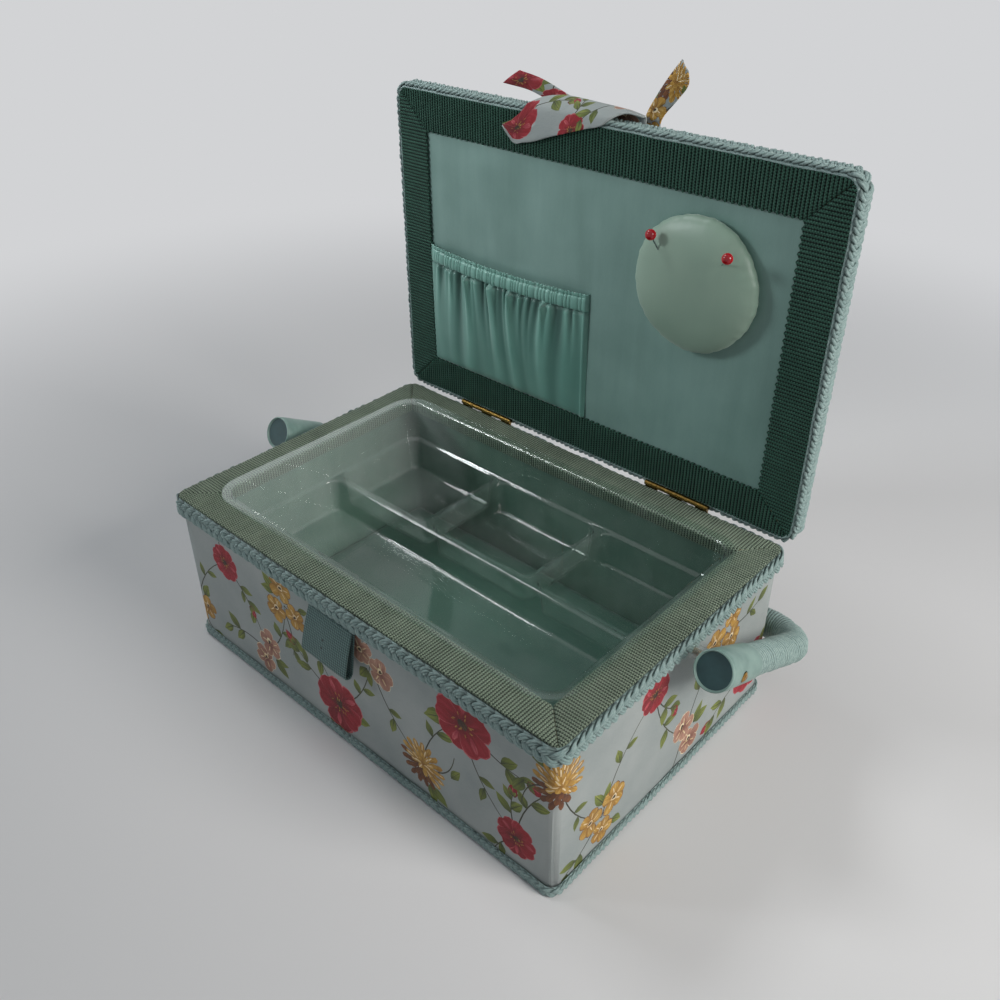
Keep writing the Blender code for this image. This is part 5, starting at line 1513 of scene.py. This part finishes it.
def dress(node_name, material, bevel=0.0, subdivide=0):
    """Gives a solid that stays its finished material and softened edges."""
    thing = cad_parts[node_name]
    thing.data.materials.clear()
    thing.data.materials.append(material)
    if bevel:
        soft = thing.modifiers.new("soft edges", "BEVEL")
        soft.width = bevel * MM
        soft.segments = 2
        soft.limit_method = "ANGLE"
        soft.angle_limit = math.radians(40)
        soft.harden_normals = False
    if subdivide:
        thing.modifiers.new("joined", "WELD").merge_threshold = 0.01 * MM
        finer = thing.modifiers.new("round", "SUBSURF")
        finer.levels = finer.render_levels = subdivide
    thing.data.shade_smooth()
    thing.data.set_sharp_from_angle(angle=math.radians(180 if subdivide else 35))


# ---------------------------------------------------------------- everything together

surroundings()
camera()
PRINT_MATERIALS = [ground_material()] + [
    print_material(f"print_{kind}", *look) for kind, look in zip(KINDS[1:], (
        ("3b3a26", "1f1d16", "5b5a35", 0, 2.0),
        ("6f7a2e", "333f1c", "9a9f4e", -0.35, 3.0),
        ("8e0a1a", "4d030c", "ad2c3b", 0.2, 3.5),
        ("b8404d", "8c1f2e", "d78983", 0.2, 3.0),
        ("b98a31", "7e5319", "dcc07c", -0.55, 3.0),
        ("6d3d1b", "3f1d10", "94632c", -0.3, 3.0),
        ("a97a66", "6a3930", "cfa68f", 0.15, 4.0),
        ("ead9b5", "c9a56f", "f3ead2", 0.0, 2.0),
        ("3a2413", "1d0f0a", "6a4a20", 0.0, 2.0),
    ))
]

body_cover()
lid_cover()
# Each webbing's first colour is painted shade for the hollows between its beads and ribs.
webbings(
    webbing_material("webbing_lid", "040c0a", "18362c", "446e5e", bead_pitch=1.3),
    webbing_material("webbing_rim", "090e09", "445344", "a3b09b", bead_pitch=1.15),
)
# The braid's last colour is painted shade deep between its strands and cords.
braids(cord_material("braid", "5c7876", "a6bab6", "1f2d2d", fibres=7.0))
tray(clear_material("clear_tray", "e6f1ec", milk=0.008))
linings(
    satin_material("satin_lining", "536d63", "6f877b", grain=(1, 1, 0.15), rough=0.45, streaks=0.2),
    satin_material("satin_base", "48675d", "5b7a6e", grain=(0.3, 1, 1), rough=0.45, streaks=0.12),
)
lid_satin(satin_material("satin_panel", "6a8981", "83a19a", grain=(0.7, 0.7, 0.09), rough=0.45, streaks=0.22))
# The pocket's satin has painted shade in its folds.
pocket(satin_material("satin_pocket", "629589", "82b0a3", grain=(1, 1, 0.4), rough=0.4, streaks=0.08, folded=True))
pincushion(satin_material("satin_cushion", "7b9484", "90a695", grain=(1, 1, 0.3), rough=0.42, streaks=0.08))
bow()
# Its last colour is painted shade in the grooves between the cord's turns.
handle_cord(cord_material("handle_cord", "5f7f7b", "b4c8c2", "1c2b2a", fibres=5.0))
PLASTIC = plastic_material("cap_plastic", "708a83", "869f97", 0.42)
# The end faces' darker copy of the cap plastic is painted shade in their recess.
handle_caps(PLASTIC, plastic_material("cap_face_painted_shade", "1f3a3d", "2c4a4c", 0.5))
tab(tab_material())

BOARD = board_material()
BRASS = metal_material("brass", "5a4520", "a3874a", 0.34)
DRESSES = {
    "wall_": (BOARD,), "rim_frame": (BOARD,), "base_board": (BOARD,), "lid_board": (BOARD,),
    "hinge_leaf": (BRASS, 0.12), "hinge_pin": (BRASS,),
    "pivot_screw": (metal_material("brass_screw", "8f6a35", "c79d5c", 0.35), 0.1),
    "pivot_spacer": (clear_material("clear_spacer", "eef4f2", milk=0.1), 0.2),
    "_shaft": (metal_material("steel", "8d9094", "c9ccd0", 0.22),),
    # The pin heads' lighter red is painted light round their edge.
    "_head": (glass_material("red_glass", "6e000b", "c8051b"), 0, 2),
    "handle_core": (PLASTIC,), "base_cover": (base_material(), 0.2),
}
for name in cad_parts:
    for part, looks in DRESSES.items():
        if part in name:
            dress(name, *looks)
